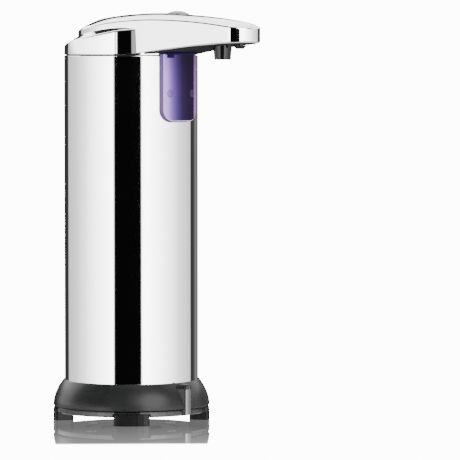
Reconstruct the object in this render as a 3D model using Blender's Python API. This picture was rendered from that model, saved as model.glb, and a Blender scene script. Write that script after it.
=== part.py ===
"""Touch-free soap dispenser: polished steel body on a black base, chrome head with a long spout.

Metres, Z up. The spout points along -Y, and the body stands upright over its own axis.
Each object is one physical piece. "Ahead" means the distance from the body's axis towards
the spout's tip, "aside" the distance along X.
"""

import math

import bmesh
import bpy
from mathutils import Matrix, Vector

# Clearances and roundness
FIT_GAP = 0.0003
RUN_GAP = 0.0004
OVERRUN = 0.004
WELD = 0.000001
BIG_SIDES = 56
MIDDLE_SIDES = 32
SMALL_SIDES = 16
TINY_SIDES = 12
SMOOTH_ANGLE = math.radians(35)
FULL_TURN = 2.0 * math.pi

# Steel body
BODY_RADIUS = 0.0319
BODY_WALL = 0.0006
SEAM_HEIGHT = 0.1738

# Rubber feet, lower plate and skirt
FOOT_HEIGHT = 0.0053
FOOT_SEAT = 0.0013
FOOT_WIDTH = 0.0175
FOOT_DEPTH = 0.0090
FOOT_ROUNDING = 0.0012
PLATE_THICKNESS = 0.0021
PLATE_SETBACK = 0.0003
GROOVE_HEIGHT = 0.0006
GROOVE_DEPTH = 0.0008
SKIRT_HEIGHT = 0.0124
SKIRT_LIP = 0.0004
SKIRT_FLARE = 0.0048
SKIRT_EDGE = 0.0005
LEDGE_THICKNESS = 0.0035
RIB_WIDTH = 0.0032
RIB_STANDOUT = 0.0012
RIB_DROP = 0.0022
RIB_BELOW_LIP = 0.0003
RIB_ROUNDING = 0.0024
RIB_FOOT_DEPTH = 0.0024
RIB_SPLAY_SHARE = 0.6

# Screws under the base
SCREW_HEAD_SHARE = 0.28
SCREW_SHAFT_SHARE = 0.14
BOSS_WALL_SHARE = 0.17
SCREW_HEAD_HEIGHT = 0.0016
SCREW_LENGTH = 0.0095
SCREW_SINK = 0.0002
SLOT_WIDTH = 0.0007
SLOT_SHARE = 0.8
BOSS_HEIGHT = 0.0058

# Battery cells and their cartridge
CELL_RADIUS = 0.00525
CELL_LENGTH = 0.0445
CELL_NUB_RADIUS = 0.0019
CELL_NUB_HEIGHT = 0.0010
CELL_RING = 0.0106
HOLDER_RIM = 0.0010
HOLDER_DISC = 0.0012
HOLDER_POST_RADIUS = 0.0048
HOLDER_WEB = 0.0018
HOLDER_WEB_STOP = 0.0014
CONTACT_THICKNESS = 0.0003
CONTACT_WIDTH = 0.0040
SPRING_LENGTH = 0.0026
SPRING_WIRE = 0.0005
SPRING_TOP_RADIUS = 0.0020
SPRING_FOOT_RADIUS = 0.0033
SPRING_TURNS = 2.5

# Battery bay and its twist-off cover
BAY_WALL = 0.0016
FLANGE_THICKNESS = 0.0016
BAY_RIB = 0.0016
LUG_REACH = 0.0018
LUG_THICKNESS = 0.0010
LUG_WIDTH = math.radians(30)
LIP_THICKNESS = 0.0010
LIP_WIDTH = math.radians(38)
COVER_THICKNESS = 0.0022
COVER_RIM = 0.0010
COVER_EDGE = 0.0004
HUB_WALL = 0.0024
RIM_STANDOFF = 0.0005
SEAL_SECTION = 0.0009
SEAL_GROOVE_DEPTH = 0.0010
GRIP_RADIUS = 0.0150
GRIP_BAR = 0.0056
GRIP_DEPTH = 0.0012
COIN_SLOT_WIDTH = 0.0018
COIN_SLOT_LENGTH = 0.0180
LUG_COUNT = 4

# Lead from the battery bay
LEAD_RADIUS = 0.0010
LEAD_GROOVE_RADIUS = 0.0026
LEAD_CENTRE_DEPTH = 0.0014

# Soap reservoir, filler and dip tube
RESERVOIR_GAP = 0.0007
RESERVOIR_WALL = 0.0015
RECESS_GAP = 0.0005
RECESS_HEIGHT = 0.0330
NECK_REAR_ROOM = 0.0045
NECK_FRONT_ROOM = 0.0001
NECK_WALL = 0.0013
NECK_HEIGHT = 0.0034
CAP_DEPTH = 0.0085
CAP_SKIRT_WALL = 0.0018
CAP_SEAL_SECTION = 0.0010
CAP_LIFT_NOTCH = 0.0022
TUBE_RADIUS = 0.0022
TUBE_BORE_RADIUS = 0.0014
DIP_SIDE_ROOM = 0.0081
DIP_BEHIND = 0.0015
STRAINER_RADIUS = 0.0036
STRAINER_HEIGHT = 0.0055
STRAINER_BORE_RADIUS = 0.0010

# Deck that carries motor and pump
DECK_THICKNESS = 0.0023
DECK_BELOW_SEAM = 0.0028

# Motor
MOTOR_SETBACK = 0.0199
MOTOR_RADIUS = 0.0100
MOTOR_FLAT = 0.0075
MOTOR_LENGTH = 0.0244
MOTOR_WALL = 0.0008
MOTOR_BOSS_RADIUS = 0.0030
MOTOR_BOSS_HEIGHT = 0.0012
MOTOR_CAP_HEIGHT = 0.0030
MOTOR_CAP_LIP = 0.0014
SHAFT_RADIUS = 0.0010
ARMATURE_RADIUS = 0.0060
ARMATURE_LENGTH = 0.0130
COMMUTATOR_RADIUS = 0.0024
COMMUTATOR_LENGTH = 0.0030

# Gear pump
GEAR_MODULE = 0.0010
GEAR_TEETH = 10
GEAR_HEIGHT_SHARE = 0.25
GEAR_BORE_RADIUS = 0.0013
PRESSURE_ANGLE = math.radians(28)
ADDENDUM_SHARE = 0.85
DEDENDUM_SHARE = 1.15
FLANK_PLAY = 0.0001
PUMP_FLOOR = 0.0015
PUMP_WALL = 0.0015
PUMP_COVER_THICKNESS = 0.0015
PORT_LENGTH = 0.0050
PORT_STUB_SHARE = 0.6
PORT_RADIUS = 0.0011
PORT_BORE_RADIUS = 0.0006
SEAL_RADIUS = 0.0025
SEAL_HEIGHT = 0.0009

# Head: arch and spout in plan, heights above the seam
HEAD_HEIGHT = 0.0200
HEAD_WALL = 0.0018
SPIGOT_DEPTH = 0.0024
ARCH_STEP = 0.0067
SPOUT_BEYOND_NOZZLE = 0.0198
TIP_FRONT_RADIUS = 0.0115
TIP_CORNER_RADIUS = 0.0056
TIP_CORNER_TURN = math.radians(58)
CREASE_BEVEL = 0.0006
COLLAR_BEVEL = 0.0004
COLLAR_DRAFT = 0.0003
NECK_STRIP_DEPTH = 0.0004
NECK_RISE = 0.0036
ARCH_SINK = 0.0006
DOME_POWER = 1.4
DOME_CORE_SHARE = 0.5
DOME_TOP_SHARE = 0.6
CAVITY_TOP_SHARE = 0.45
REAR_STATIONS = 12
SIDE_STATIONS = 9
CORNER_STATIONS = 3
FRONT_STATIONS = 6
DOME_SHARES = [1.0, 0.88, 0.7, 0.48, 0.25]

# Profile of the head from its rear (0) to the spout's tip (1), as shares of its height
CROWN_SHARES = [
    (0.0, 0.53), (0.1, 0.865), (0.214, 0.955), (0.371, 1.0), (0.482, 0.995), (0.623, 0.948),
    (0.719, 0.911), (0.835, 0.848), (0.92, 0.787), (0.971, 0.73), (1.0, 0.645),
]
CREASE_SHARES = [
    (0.0, 0.53), (0.07, 0.59), (0.241, 0.73), (0.326, 0.7875), (0.3985, 0.8275), (0.471, 0.85),
    (0.544, 0.8575), (0.647, 0.84), (0.722, 0.815), (0.824, 0.765), (0.937, 0.6825), (1.0, 0.645),
]
NECK_FLAT_SHARE = 0.3994
UNDERSIDE_SHARES = [
    (0.0, 0.0), (0.2, 0.0), (NECK_FLAT_SHARE, 0.0), (0.5067, 0.055), (0.6054, 0.1225), (0.7203, 0.1875),
    (0.8238, 0.24), (0.9368, 0.28), (1.0, 0.293),
]
# Height of the collar's top edge, and of the dome at the arch's foot, from rear (-1) to front (1)
EDGE_SHARES = [
    (-1.0, 0.15), (-0.702, 0.24), (-0.25, 0.37), (0.147, 0.47), (0.304, 0.515), (0.448, 0.563),
    (0.539, 0.593), (0.683, 0.622), (0.777, 0.628), (1.0, 0.63),
]
ARCH_FOOT_SHARES = [
    (-1.0, 0.37), (-0.71, 0.445), (-0.19, 0.53), (0.254, 0.615), (0.69, 0.69), (0.913, 0.70), (1.0, 0.70),
]

# Plate under the spout, nozzle, outlet and status light
UNDERPLATE_THICKNESS = 0.0020
PLATE_REAR_SHARE = 0.6
UNDERPLATE_STANDOUT = 0.0004
NOZZLE_AHEAD = 0.0602
NOZZLE_TOP_RADIUS = 0.00435
NOZZLE_END_RADIUS = 0.0039
NOZZLE_DROP = 0.0067
NOZZLE_BORE_RADIUS = 0.0026
NOZZLE_FLANGE_RADIUS = 0.0054
NOZZLE_FLANGE_HEIGHT = 0.0010
NOZZLE_EDGE = 0.0004
VALVE_LENGTH = 0.0050
VALVE_BORE_RADIUS = 0.0008
VALVE_TIP_RADIUS = 0.0013
VALVE_INSET = 0.0014
ELBOW_RADIUS = 0.0034
ELBOW_HEIGHT = 0.0044
ELBOW_PORT_LENGTH = 0.0062
ELBOW_BORE_RADIUS = 0.0006
LENS_BEYOND_NOZZLE = 0.0111
LENS_RADIUS = 0.0032
LENS_END_RADIUS = 0.00175
LENS_DROP = 0.0016
LENS_STEM_RADIUS = 0.0020
LIGHT_RADIUS = 0.0015
LIGHT_HEIGHT = 0.0032

# Push button, switch and control board, along the button's own axis
BUTTON_AHEAD = 0.0316
BUTTON_RADIUS = 0.00495
BUTTON_CROWN = 0.0014
BUTTON_SKIRT_TOP = 0.0003
BUTTON_DOME_POWER = 2.4
BUTTON_FLANGE_RADIUS = 0.0062
BUTTON_FLANGE_THICKNESS = 0.0010
BUTTON_STEM_RADIUS = 0.0015
BUTTON_STEM_LENGTH = 0.0012
BUTTON_TRAVEL = 0.0006
PLUNGER_RADIUS = 0.0017
PLUNGER_LENGTH = 0.0022
PLUNGER_SHOW = 0.0008
SWITCH_WIDTH = 0.0060
SWITCH_HEIGHT = 0.0034
BOARD_THICKNESS = 0.0012
CONTROL_BOARD_LENGTH = 0.0100
OUTLET_SIDE_ROOM = 0.0011
BOARD_SIDE_ROOM = 0.0005
POST_RADIUS = 0.0013
POST_INSET = 0.0016

# Sensor window and the parts behind it
WINDOW_STANDOUT = 0.0026
WINDOW_HALF_WIDTH = 0.0109
WINDOW_DROP = 0.0311
WINDOW_RISE = 0.0016
WINDOW_CORNER = 0.0055
WINDOW_TOP_CORNER = 0.0010
WINDOW_BEVEL = 0.0007
WINDOW_WALL = 0.0010
WINDOW_FRONT_WALL = 0.0012
WINDOW_FLANGE = 0.0015
WINDOW_FLANGE_THICKNESS = 0.0010
WINDOW_DEPTH = 0.0047
SENSOR_HEIGHT_BELOW_SEAM = 0.0176
SENSOR_ASIDE = 0.0073
SENSOR_RADIUS = 0.00225
SENSOR_BASE_RADIUS = 0.0024
SENSOR_LENGTH = 0.0075
SENSOR_BASE_LENGTH = 0.0009
SENSOR_HOLDER_HEIGHT = 0.0140
SENSOR_HOLDER_DEPTH = 0.0040
SENSOR_BOARD_HEIGHT = 0.0210
SENSOR_BOARD_GAP = 0.0010

# Colour, roughness, metallic value and transparency of each finish
FINISHES = {
    "tool": ((0.8, 0.3, 0.1), 0.5),
    "steel": ((0.72, 0.72, 0.73), 0.06, 1.0),
    "chrome": ((0.80, 0.80, 0.82), 0.04, 1.0),
    "black_plastic": ((0.015, 0.015, 0.016), 0.35),
    "gloss_black": ((0.008, 0.008, 0.009), 0.1),
    "button_plastic": ((0.42, 0.42, 0.43), 0.3),
    "window_plastic": ((0.12, 0.06, 0.25), 0.05, 0.0, 0.7),
    "rubber": ((0.02, 0.02, 0.02), 0.8),
    "inner_plastic": ((0.75, 0.75, 0.72), 0.5),
    "reservoir_plastic": ((0.7, 0.74, 0.76), 0.3, 0.0, 0.5),
    "tube_plastic": ((0.7, 0.7, 0.68), 0.35, 0.0, 0.4),
    "gear_plastic": ((0.85, 0.84, 0.80), 0.45),
    "screw_steel": ((0.5, 0.5, 0.5), 0.3, 1.0),
    "motor_steel": ((0.55, 0.55, 0.55), 0.3, 1.0),
    "contact_metal": ((0.75, 0.70, 0.55), 0.25, 1.0),
    "cell_wrap": ((0.10, 0.12, 0.16), 0.3),
    "circuit_board": ((0.02, 0.16, 0.07), 0.5),
    "sensor_resin": ((0.30, 0.30, 0.36), 0.15),
    "lead_jacket": ((0.35, 0.02, 0.02), 0.5),
}

# Places that follow from the sizes above
ARCH_RADIUS = BODY_RADIUS - ARCH_STEP
SPOUT_REACH = NOZZLE_AHEAD + SPOUT_BEYOND_NOZZLE
LENS_AHEAD = NOZZLE_AHEAD + LENS_BEYOND_NOZZLE
TIP_CENTRE = SPOUT_REACH - TIP_FRONT_RADIUS
CORNER_OFFSET = TIP_FRONT_RADIUS - TIP_CORNER_RADIUS
CORNER_AHEAD = TIP_CENTRE + CORNER_OFFSET * math.cos(TIP_CORNER_TURN)
CORNER_ASIDE = CORNER_OFFSET * math.sin(TIP_CORNER_TURN)
CORNER_DISTANCE = math.hypot(CORNER_AHEAD, CORNER_ASIDE)
CORNER_DIRECTION = math.atan2(CORNER_ASIDE, CORNER_AHEAD)
TAPER = math.asin((ARCH_RADIUS - TIP_CORNER_RADIUS) / CORNER_DISTANCE) - CORNER_DIRECTION
HEAD_LENGTH = ARCH_RADIUS + SPOUT_REACH
LIP_RADIUS = BODY_RADIUS + FIT_GAP + SKIRT_LIP
BASE_RADIUS = LIP_RADIUS + SKIRT_FLARE
AXIS_SETBACK = (SPOUT_REACH - BASE_RADIUS) / 2.0
BODY_BORE = BODY_RADIUS - BODY_WALL
INNER_RADIUS = BODY_BORE - FIT_GAP

PLATE_BOTTOM = FOOT_HEIGHT - FOOT_SEAT
PLATE_EDGE_TOP = PLATE_BOTTOM + PLATE_THICKNESS
SKIRT_BOTTOM = PLATE_EDGE_TOP + GROOVE_HEIGHT
SKIRT_TOP = SKIRT_BOTTOM + SKIRT_HEIGHT
LEDGE_TOP = SKIRT_BOTTOM + LEDGE_THICKNESS
BODY_BOTTOM = LEDGE_TOP + FIT_GAP

HOLDER_RADIUS = CELL_RING + CELL_RADIUS + HOLDER_RIM
BAY_RADIUS = HOLDER_RADIUS + RUN_GAP
LUG_RADIUS = HOLDER_RADIUS + LUG_REACH
BELL_RADIUS = LUG_RADIUS + RUN_GAP
BELL_OUTER = BELL_RADIUS + BAY_WALL
COVER_RADIUS = BELL_OUTER + COVER_RIM
COVER_BOTTOM = PLATE_BOTTOM + FIT_GAP
COVER_TOP = COVER_BOTTOM + COVER_THICKNESS
BELL_BOTTOM = COVER_TOP + RIM_STANDOFF
LUG_BOTTOM = BELL_BOTTOM + LIP_THICKNESS + RUN_GAP
LUG_TOP = LUG_BOTTOM + LUG_THICKNESS
BELL_TOP = LUG_TOP + RUN_GAP
SEAL_RING_RADIUS = (BELL_RADIUS + BELL_OUTER) / 2.0
SEAL_GROOVE_HALF = SEAL_SECTION / 2.0 + FIT_GAP

SCREW_ROOM = BODY_BORE - COVER_RADIUS - RUN_GAP
SCREW_RING = BODY_BORE - SCREW_ROOM / 2.0
SCREW_HEAD_RADIUS = SCREW_ROOM * SCREW_HEAD_SHARE
SCREW_SHAFT_RADIUS = SCREW_ROOM * SCREW_SHAFT_SHARE
BOSS_WALL = SCREW_ROOM * BOSS_WALL_SHARE

HOLDER_BOTTOM = LUG_TOP + FIT_GAP
CELL_SPACE_BOTTOM = HOLDER_BOTTOM + HOLDER_DISC
CELL_SPACE = CELL_LENGTH + SPRING_LENGTH + 2.0 * CONTACT_THICKNESS + 4.0 * FIT_GAP
CELL_SPACE_TOP = CELL_SPACE_BOTTOM + CELL_SPACE
HOLDER_TOP = CELL_SPACE_TOP + HOLDER_DISC
BAY_CEILING = HOLDER_TOP + FIT_GAP
BAY_TOP = BAY_CEILING + BAY_WALL

RESERVOIR_RADIUS = BODY_BORE - RESERVOIR_GAP
RESERVOIR_BOTTOM = BAY_TOP + FIT_GAP
DECK_TOP = SEAM_HEIGHT - DECK_BELOW_SEAM
DECK_BOTTOM = DECK_TOP - DECK_THICKNESS
RESERVOIR_TOP = DECK_BOTTOM - FIT_GAP
RECESS_BOTTOM = RESERVOIR_TOP - RECESS_HEIGHT
MOTOR_AHEAD = BODY_RADIUS - MOTOR_SETBACK
RECESS_AHEAD = MOTOR_AHEAD - MOTOR_FLAT - RECESS_GAP
NECK_REAR = ARCH_RADIUS - NECK_REAR_ROOM
NECK_RADIUS = (NECK_REAR + RECESS_AHEAD - NECK_FRONT_ROOM) / 2.0
NECK_BEHIND = NECK_REAR - NECK_RADIUS
NECK_BORE_RADIUS = NECK_RADIUS - NECK_WALL
DIP_ASIDE = RESERVOIR_RADIUS - DIP_SIDE_ROOM
NECK_TOP = RESERVOIR_TOP + NECK_HEIGHT
CAP_RADIUS = NECK_RADIUS - FIT_GAP
CAP_SKIRT_RADIUS = NECK_BORE_RADIUS - RUN_GAP

GEAR_THICKNESS = HEAD_HEIGHT * GEAR_HEIGHT_SHARE
PITCH_RADIUS = GEAR_MODULE * GEAR_TEETH / 2.0
GEAR_TIP_RADIUS = PITCH_RADIUS + GEAR_MODULE * ADDENDUM_SHARE
GEAR_ROOT_RADIUS = PITCH_RADIUS - GEAR_MODULE * DEDENDUM_SHARE
IDLER_AHEAD = MOTOR_AHEAD + 2.0 * PITCH_RADIUS
CHAMBER_RADIUS = GEAR_TIP_RADIUS + FIT_GAP
PUMP_RADIUS = CHAMBER_RADIUS + PUMP_WALL
PUMP_BOTTOM = DECK_TOP + FIT_GAP
CHAMBER_BOTTOM = PUMP_BOTTOM + PUMP_FLOOR
GEAR_BOTTOM = CHAMBER_BOTTOM + FIT_GAP
GEAR_TOP = GEAR_BOTTOM + GEAR_THICKNESS
PUMP_TOP = GEAR_TOP + FIT_GAP
PUMP_COVER_BOTTOM = PUMP_TOP + FIT_GAP
PUMP_COVER_TOP = PUMP_COVER_BOTTOM + PUMP_COVER_THICKNESS
PORT_AHEAD = (MOTOR_AHEAD + IDLER_AHEAD) / 2.0
PORT_HEIGHT = (GEAR_BOTTOM + GEAR_TOP) / 2.0
PORT_END = PUMP_RADIUS + PORT_LENGTH
PORT_TIP = PUMP_RADIUS + PORT_LENGTH * PORT_STUB_SHARE

MOTOR_TOP = DECK_BOTTOM - FIT_GAP
MOTOR_BOTTOM = MOTOR_TOP - MOTOR_LENGTH
ARMATURE_TOP = MOTOR_TOP - MOTOR_WALL - 2.0 * RUN_GAP
ARMATURE_BOTTOM = ARMATURE_TOP - ARMATURE_LENGTH

FACE_RADIUS = BODY_RADIUS + WINDOW_STANDOUT
WINDOW_BOTTOM = SEAM_HEIGHT - WINDOW_DROP
WINDOW_TOP = SEAM_HEIGHT + WINDOW_RISE
FLANGE_HALF_WIDTH = WINDOW_HALF_WIDTH + WINDOW_FLANGE
FLANGE_FRONT = math.sqrt(BODY_BORE ** 2 - FLANGE_HALF_WIDTH ** 2) - FIT_GAP
WINDOW_REAR = BODY_RADIUS - WINDOW_DEPTH
SENSOR_HEIGHT = SEAM_HEIGHT - SENSOR_HEIGHT_BELOW_SEAM
SENSOR_BOARD_REAR = MOTOR_AHEAD + MOTOR_FLAT + SENSOR_BOARD_GAP
SENSOR_BOARD_FRONT = SENSOR_BOARD_REAR + BOARD_THICKNESS

BOARD_FRONT = BUTTON_AHEAD + CONTROL_BOARD_LENGTH / 2.0
SPOUT_HALF_AT_BOARD = (ARCH_RADIUS - BOARD_FRONT * math.sin(TAPER)) / math.cos(TAPER)
OUTLET_ASIDE = SPOUT_HALF_AT_BOARD - HEAD_WALL - TUBE_RADIUS - OUTLET_SIDE_ROOM
CONTROL_BOARD_WIDTH = 2.0 * (OUTLET_ASIDE - TUBE_RADIUS - BOARD_SIDE_ROOM)


def smooth_value(points, position):
    """Height at a position on the smooth curve through (position, height) points."""
    last = len(points) - 1
    index = 0
    while index < last - 1 and position > points[index + 1][0]:
        index += 1
    start, end = points[index], points[index + 1]
    span = end[0] - start[0]
    share = min(max((position - start[0]) / span, 0.0), 1.0)
    slopes = []
    for near in (index, index + 1):
        low, high = points[max(near - 1, 0)], points[min(near + 1, last)]
        slopes.append((high[1] - low[1]) / (high[0] - low[0]) * span)
    rise = end[1] - start[1]
    bend = share * share * (3.0 - 2.0 * share)
    lead_in = share * (1.0 - share) ** 2 * slopes[0]
    lead_out = share * share * (share - 1.0) * slopes[1]
    return start[1] + rise * bend + lead_in + lead_out


def head_share(ahead):
    """Place along the head, from 0 at its rear to 1 at the spout's tip."""
    return (ahead + ARCH_RADIUS) / HEAD_LENGTH


def crown_height(ahead):
    return SEAM_HEIGHT + HEAD_HEIGHT * smooth_value(CROWN_SHARES, head_share(ahead))


def crease_height(ahead):
    return SEAM_HEIGHT + HEAD_HEIGHT * smooth_value(CREASE_SHARES, head_share(ahead))


def underside_height(ahead):
    return SEAM_HEIGHT + HEAD_HEIGHT * smooth_value(UNDERSIDE_SHARES, head_share(ahead))


def edge_height(direction):
    """Top edge of the collar, by the cosine of the direction from straight ahead."""
    return SEAM_HEIGHT + HEAD_HEIGHT * smooth_value(EDGE_SHARES, direction)


def arch_foot_height(direction):
    return SEAM_HEIGHT + HEAD_HEIGHT * smooth_value(ARCH_FOOT_SHARES, direction)


def on_circle(radius, angle, height, ahead=0.0, aside=0.0):
    """Point by its angle from straight ahead, towards +X."""
    return Vector((aside + radius * math.sin(angle), -ahead - radius * math.cos(angle), height))


def make_material(name, colour, roughness, metallic=0.0, see_through=0.0):
    material = bpy.data.materials.new(name)
    material.use_nodes = True
    shader = material.node_tree.nodes["Principled BSDF"]
    shader.inputs["Base Color"].default_value = (*colour, 1.0)
    shader.inputs["Roughness"].default_value = roughness
    shader.inputs["Metallic"].default_value = metallic
    shader.inputs["Transmission Weight"].default_value = see_through
    material.diffuse_color = (*colour, 1.0)
    return material


def add_piece(name, shape, finish, parent, location=(0.0, 0.0, 0.0), rotation=(0.0, 0.0, 0.0)):
    """Turn a bmesh into a named, smooth-shaded object with a material of its own."""
    bmesh.ops.remove_doubles(shape, verts=shape.verts[:], dist=WELD)
    bmesh.ops.recalc_face_normals(shape, faces=shape.faces[:])
    mesh = bpy.data.meshes.new(name)
    shape.to_mesh(mesh)
    shape.free()
    mesh.shade_smooth()
    mesh.set_sharp_from_angle(angle=SMOOTH_ANGLE)
    mesh.materials.append(make_material(name, *finish))
    piece = bpy.data.objects.new(name, mesh)
    bpy.context.scene.collection.objects.link(piece)
    piece.parent = parent
    piece.location = location
    piece.rotation_euler = rotation
    return piece


def add_empty(name, parent, location, rotation=(0.0, 0.0, 0.0)):
    empty = bpy.data.objects.new(name, None)
    bpy.context.scene.collection.objects.link(empty)
    empty.parent = parent
    empty.location = location
    empty.rotation_euler = rotation
    return empty


def add_tool(name, shape, parent, location=(0.0, 0.0, 0.0), rotation=(0.0, 0.0, 0.0)):
    """A cutter or other helper shape, which isn't a piece."""
    tool = add_piece(name, shape, FINISHES["tool"], parent, location, rotation)
    tool.hide_render = True
    tool.display_type = "WIRE"
    return tool


def combine(piece, tool, operation):
    modifier = piece.modifiers.new(tool.name, "BOOLEAN")
    modifier.object = tool
    modifier.operation = operation
    modifier.solver = "EXACT"
    return piece


def cut(piece, tool):
    return combine(piece, tool, "DIFFERENCE")


def join(piece, tool):
    return combine(piece, tool, "UNION")


def turned(profile, sides):
    """Solid of revolution round Z from an outline of (radius, height) points."""
    shape = bmesh.new()
    corners = [shape.verts.new((radius, 0.0, height)) for radius, height in profile]
    edges = [shape.edges.new(pair) for pair in zip(corners, corners[1:])]
    touches_axis = profile[0][0] == 0.0 and profile[-1][0] == 0.0
    if not touches_axis:
        edges.append(shape.edges.new((corners[-1], corners[0])))
    bmesh.ops.spin(
        shape, geom=corners + edges, cent=(0.0, 0.0, 0.0), axis=(0.0, 0.0, 1.0),
        angle=FULL_TURN, steps=sides, use_merge=True,
    )
    bmesh.ops.remove_doubles(shape, verts=shape.verts[:], dist=WELD)
    return shape


def moved(shape, offset):
    bmesh.ops.translate(shape, verts=shape.verts[:], vec=offset)
    return shape


def turned_about_axis(shape, angle, axis="Z"):
    matrix = Matrix.Rotation(angle, 3, axis)
    bmesh.ops.rotate(shape, verts=shape.verts[:], cent=(0.0, 0.0, 0.0), matrix=matrix)
    return shape


def rod(radius, bottom, top, sides, ahead=0.0, aside=0.0):
    """Upright cylinder."""
    shape = turned([(0.0, bottom), (radius, bottom), (radius, top), (0.0, top)], sides)
    return moved(shape, (aside, -ahead, 0.0))


def ring(inner, outer, bottom, top, sides, ahead=0.0, aside=0.0):
    shape = turned([(outer, top), (outer, bottom), (inner, bottom), (inner, top)], sides)
    return moved(shape, (aside, -ahead, 0.0))


def together(shapes):
    """One mesh of several closed shapes, which may overlap."""
    whole = bmesh.new()
    for shape in shapes:
        mesh = bpy.data.meshes.new("part_of_tool")
        shape.to_mesh(mesh)
        shape.free()
        whole.from_mesh(mesh)
        bpy.data.meshes.remove(mesh)
    return whole


def prism(outline, bottom, top):
    """Upright solid over a flat outline of (x, y) points."""
    shape = bmesh.new()
    face = shape.faces.new([shape.verts.new((x, y, bottom)) for x, y in outline])
    raised = bmesh.ops.extrude_face_region(shape, geom=[face])
    lifted = [part for part in raised["geom"] if isinstance(part, bmesh.types.BMVert)]
    bmesh.ops.translate(shape, verts=lifted, vec=(0.0, 0.0, top - bottom))
    return shape


def block(aside, ahead, height):
    """Box between pairs of limits along X, ahead and Z."""
    outline = [
        (aside[0], -ahead[0]), (aside[1], -ahead[0]), (aside[1], -ahead[1]), (aside[0], -ahead[1]),
    ]
    return prism(outline, height[0], height[1])


def cross_rod(radius, low, high, height, ahead, sides):
    """Cylinder that lies along X."""
    shape = turned([(0.0, low), (radius, low), (radius, high), (0.0, high)], sides)
    return moved(turned_about_axis(shape, math.pi / 2.0, "Y"), (0.0, -ahead, height))


def forward_rod(radius, near, far, height, aside, sides):
    """Cylinder that lies along the spout's direction, between two distances ahead."""
    shape = turned([(0.0, near), (radius, near), (radius, far), (0.0, far)], sides)
    return moved(turned_about_axis(shape, math.pi / 2.0, "X"), (aside, 0.0, height))


def sector(inner, outer, middle, width, steps):
    """Outline of a piece of a flat ring, by the angle of its middle and its width."""
    outline = []
    for step in range(steps + 1):
        angle = middle - width / 2.0 + width * step / steps
        outline.append((outer * math.sin(angle), -outer * math.cos(angle)))
    for step in range(steps + 1):
        angle = middle + width / 2.0 - width * step / steps
        outline.append((inner * math.sin(angle), -inner * math.cos(angle)))
    return outline


def loft(loops):
    """Solid through loops of equal length, closed by a flat face at each end."""
    shape = bmesh.new()
    rows = [[shape.verts.new(point) for point in loop] for loop in loops]
    count = len(rows[0])
    for near, far in zip(rows, rows[1:]):
        for index in range(count):
            after = (index + 1) % count
            shape.faces.new((near[index], near[after], far[after], far[index]))
    shape.faces.new(rows[0])
    shape.faces.new(rows[-1])
    return shape


def open_loft(loops):
    """Solid through loops whose first and last have shrunk to a line or a point."""
    shape = loft(loops)
    shape.faces.ensure_lookup_table()
    ends = shape.faces[-2:]
    bmesh.ops.delete(shape, geom=ends, context="FACES_ONLY")
    bmesh.ops.remove_doubles(shape, verts=shape.verts[:], dist=WELD)
    bmesh.ops.dissolve_degenerate(shape, edges=shape.edges[:], dist=WELD)
    return shape


def path_frames(points):
    """Point, side and up vectors along a path, turning as little as they can."""
    frames = []
    side = None
    for index, point in enumerate(points):
        before, after = points[max(index - 1, 0)], points[min(index + 1, len(points) - 1)]
        heading = (after - before).normalized()
        if side is None:
            side = heading.orthogonal().normalized()
        side = (side - heading * side.dot(heading)).normalized()
        frames.append((point, side, heading.cross(side)))
    return frames


def path_loops(points, radius, sides):
    loops = []
    for point, side, up in path_frames(points):
        loop = []
        for step in range(sides):
            angle = FULL_TURN * step / sides
            loop.append(point + (side * math.cos(angle) + up * math.sin(angle)) * radius)
        loops.append(loop)
    return loops


def solid_path(points, radius, sides):
    return loft(path_loops(points, radius, sides))


def hollow_path(points, radius, bore, sides):
    """Tube along a path, open at both ends."""
    shape = bmesh.new()
    skins = []
    for size in (radius, bore):
        skins.append([[shape.verts.new(point) for point in loop] for loop in path_loops(points, size, sides)])
    for skin in skins:
        for near, far in zip(skin, skin[1:]):
            for index in range(sides):
                after = (index + 1) % sides
                shape.faces.new((near[index], near[after], far[after], far[index]))
    for end in (0, -1):
        outer, inner = skins[0][end], skins[1][end]
        for index in range(sides):
            after = (index + 1) % sides
            shape.faces.new((outer[index], outer[after], inner[after], inner[index]))
    return shape


def smooth_path(stops, steps):
    """Points on a smooth curve through hand-placed stops."""
    points = []
    last = len(stops) - 1
    for index in range(last):
        start, end = stops[index], stops[index + 1]
        before, after = stops[max(index - 1, 0)], stops[min(index + 2, last)]
        for step in range(steps):
            share = step / steps
            bend = share * share * (3.0 - 2.0 * share)
            lead_in = (end - before) / 2.0 * share * (1.0 - share) ** 2
            lead_out = (after - start) / 2.0 * share * share * (share - 1.0)
            points.append(start.lerp(end, bend) + lead_in + lead_out)
    points.append(stops[last])
    return points


def baked_mesh(piece):
    """Mesh of a piece with its modifiers applied, for its copies to share."""
    shown = piece.evaluated_get(bpy.context.evaluated_depsgraph_get())
    return bpy.data.meshes.new_from_object(shown)


def add_copy(name, mesh, parent, location, turn):
    piece = bpy.data.objects.new(name, mesh)
    bpy.context.scene.collection.objects.link(piece)
    piece.parent = parent
    piece.location = location
    piece.rotation_euler = (0.0, 0.0, turn)
    return piece


def skirt_radius(height_share):
    """The skirt spreads downwards along a parabola."""
    return LIP_RADIUS + SKIRT_FLARE * (1.0 - height_share ** 2)


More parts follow.
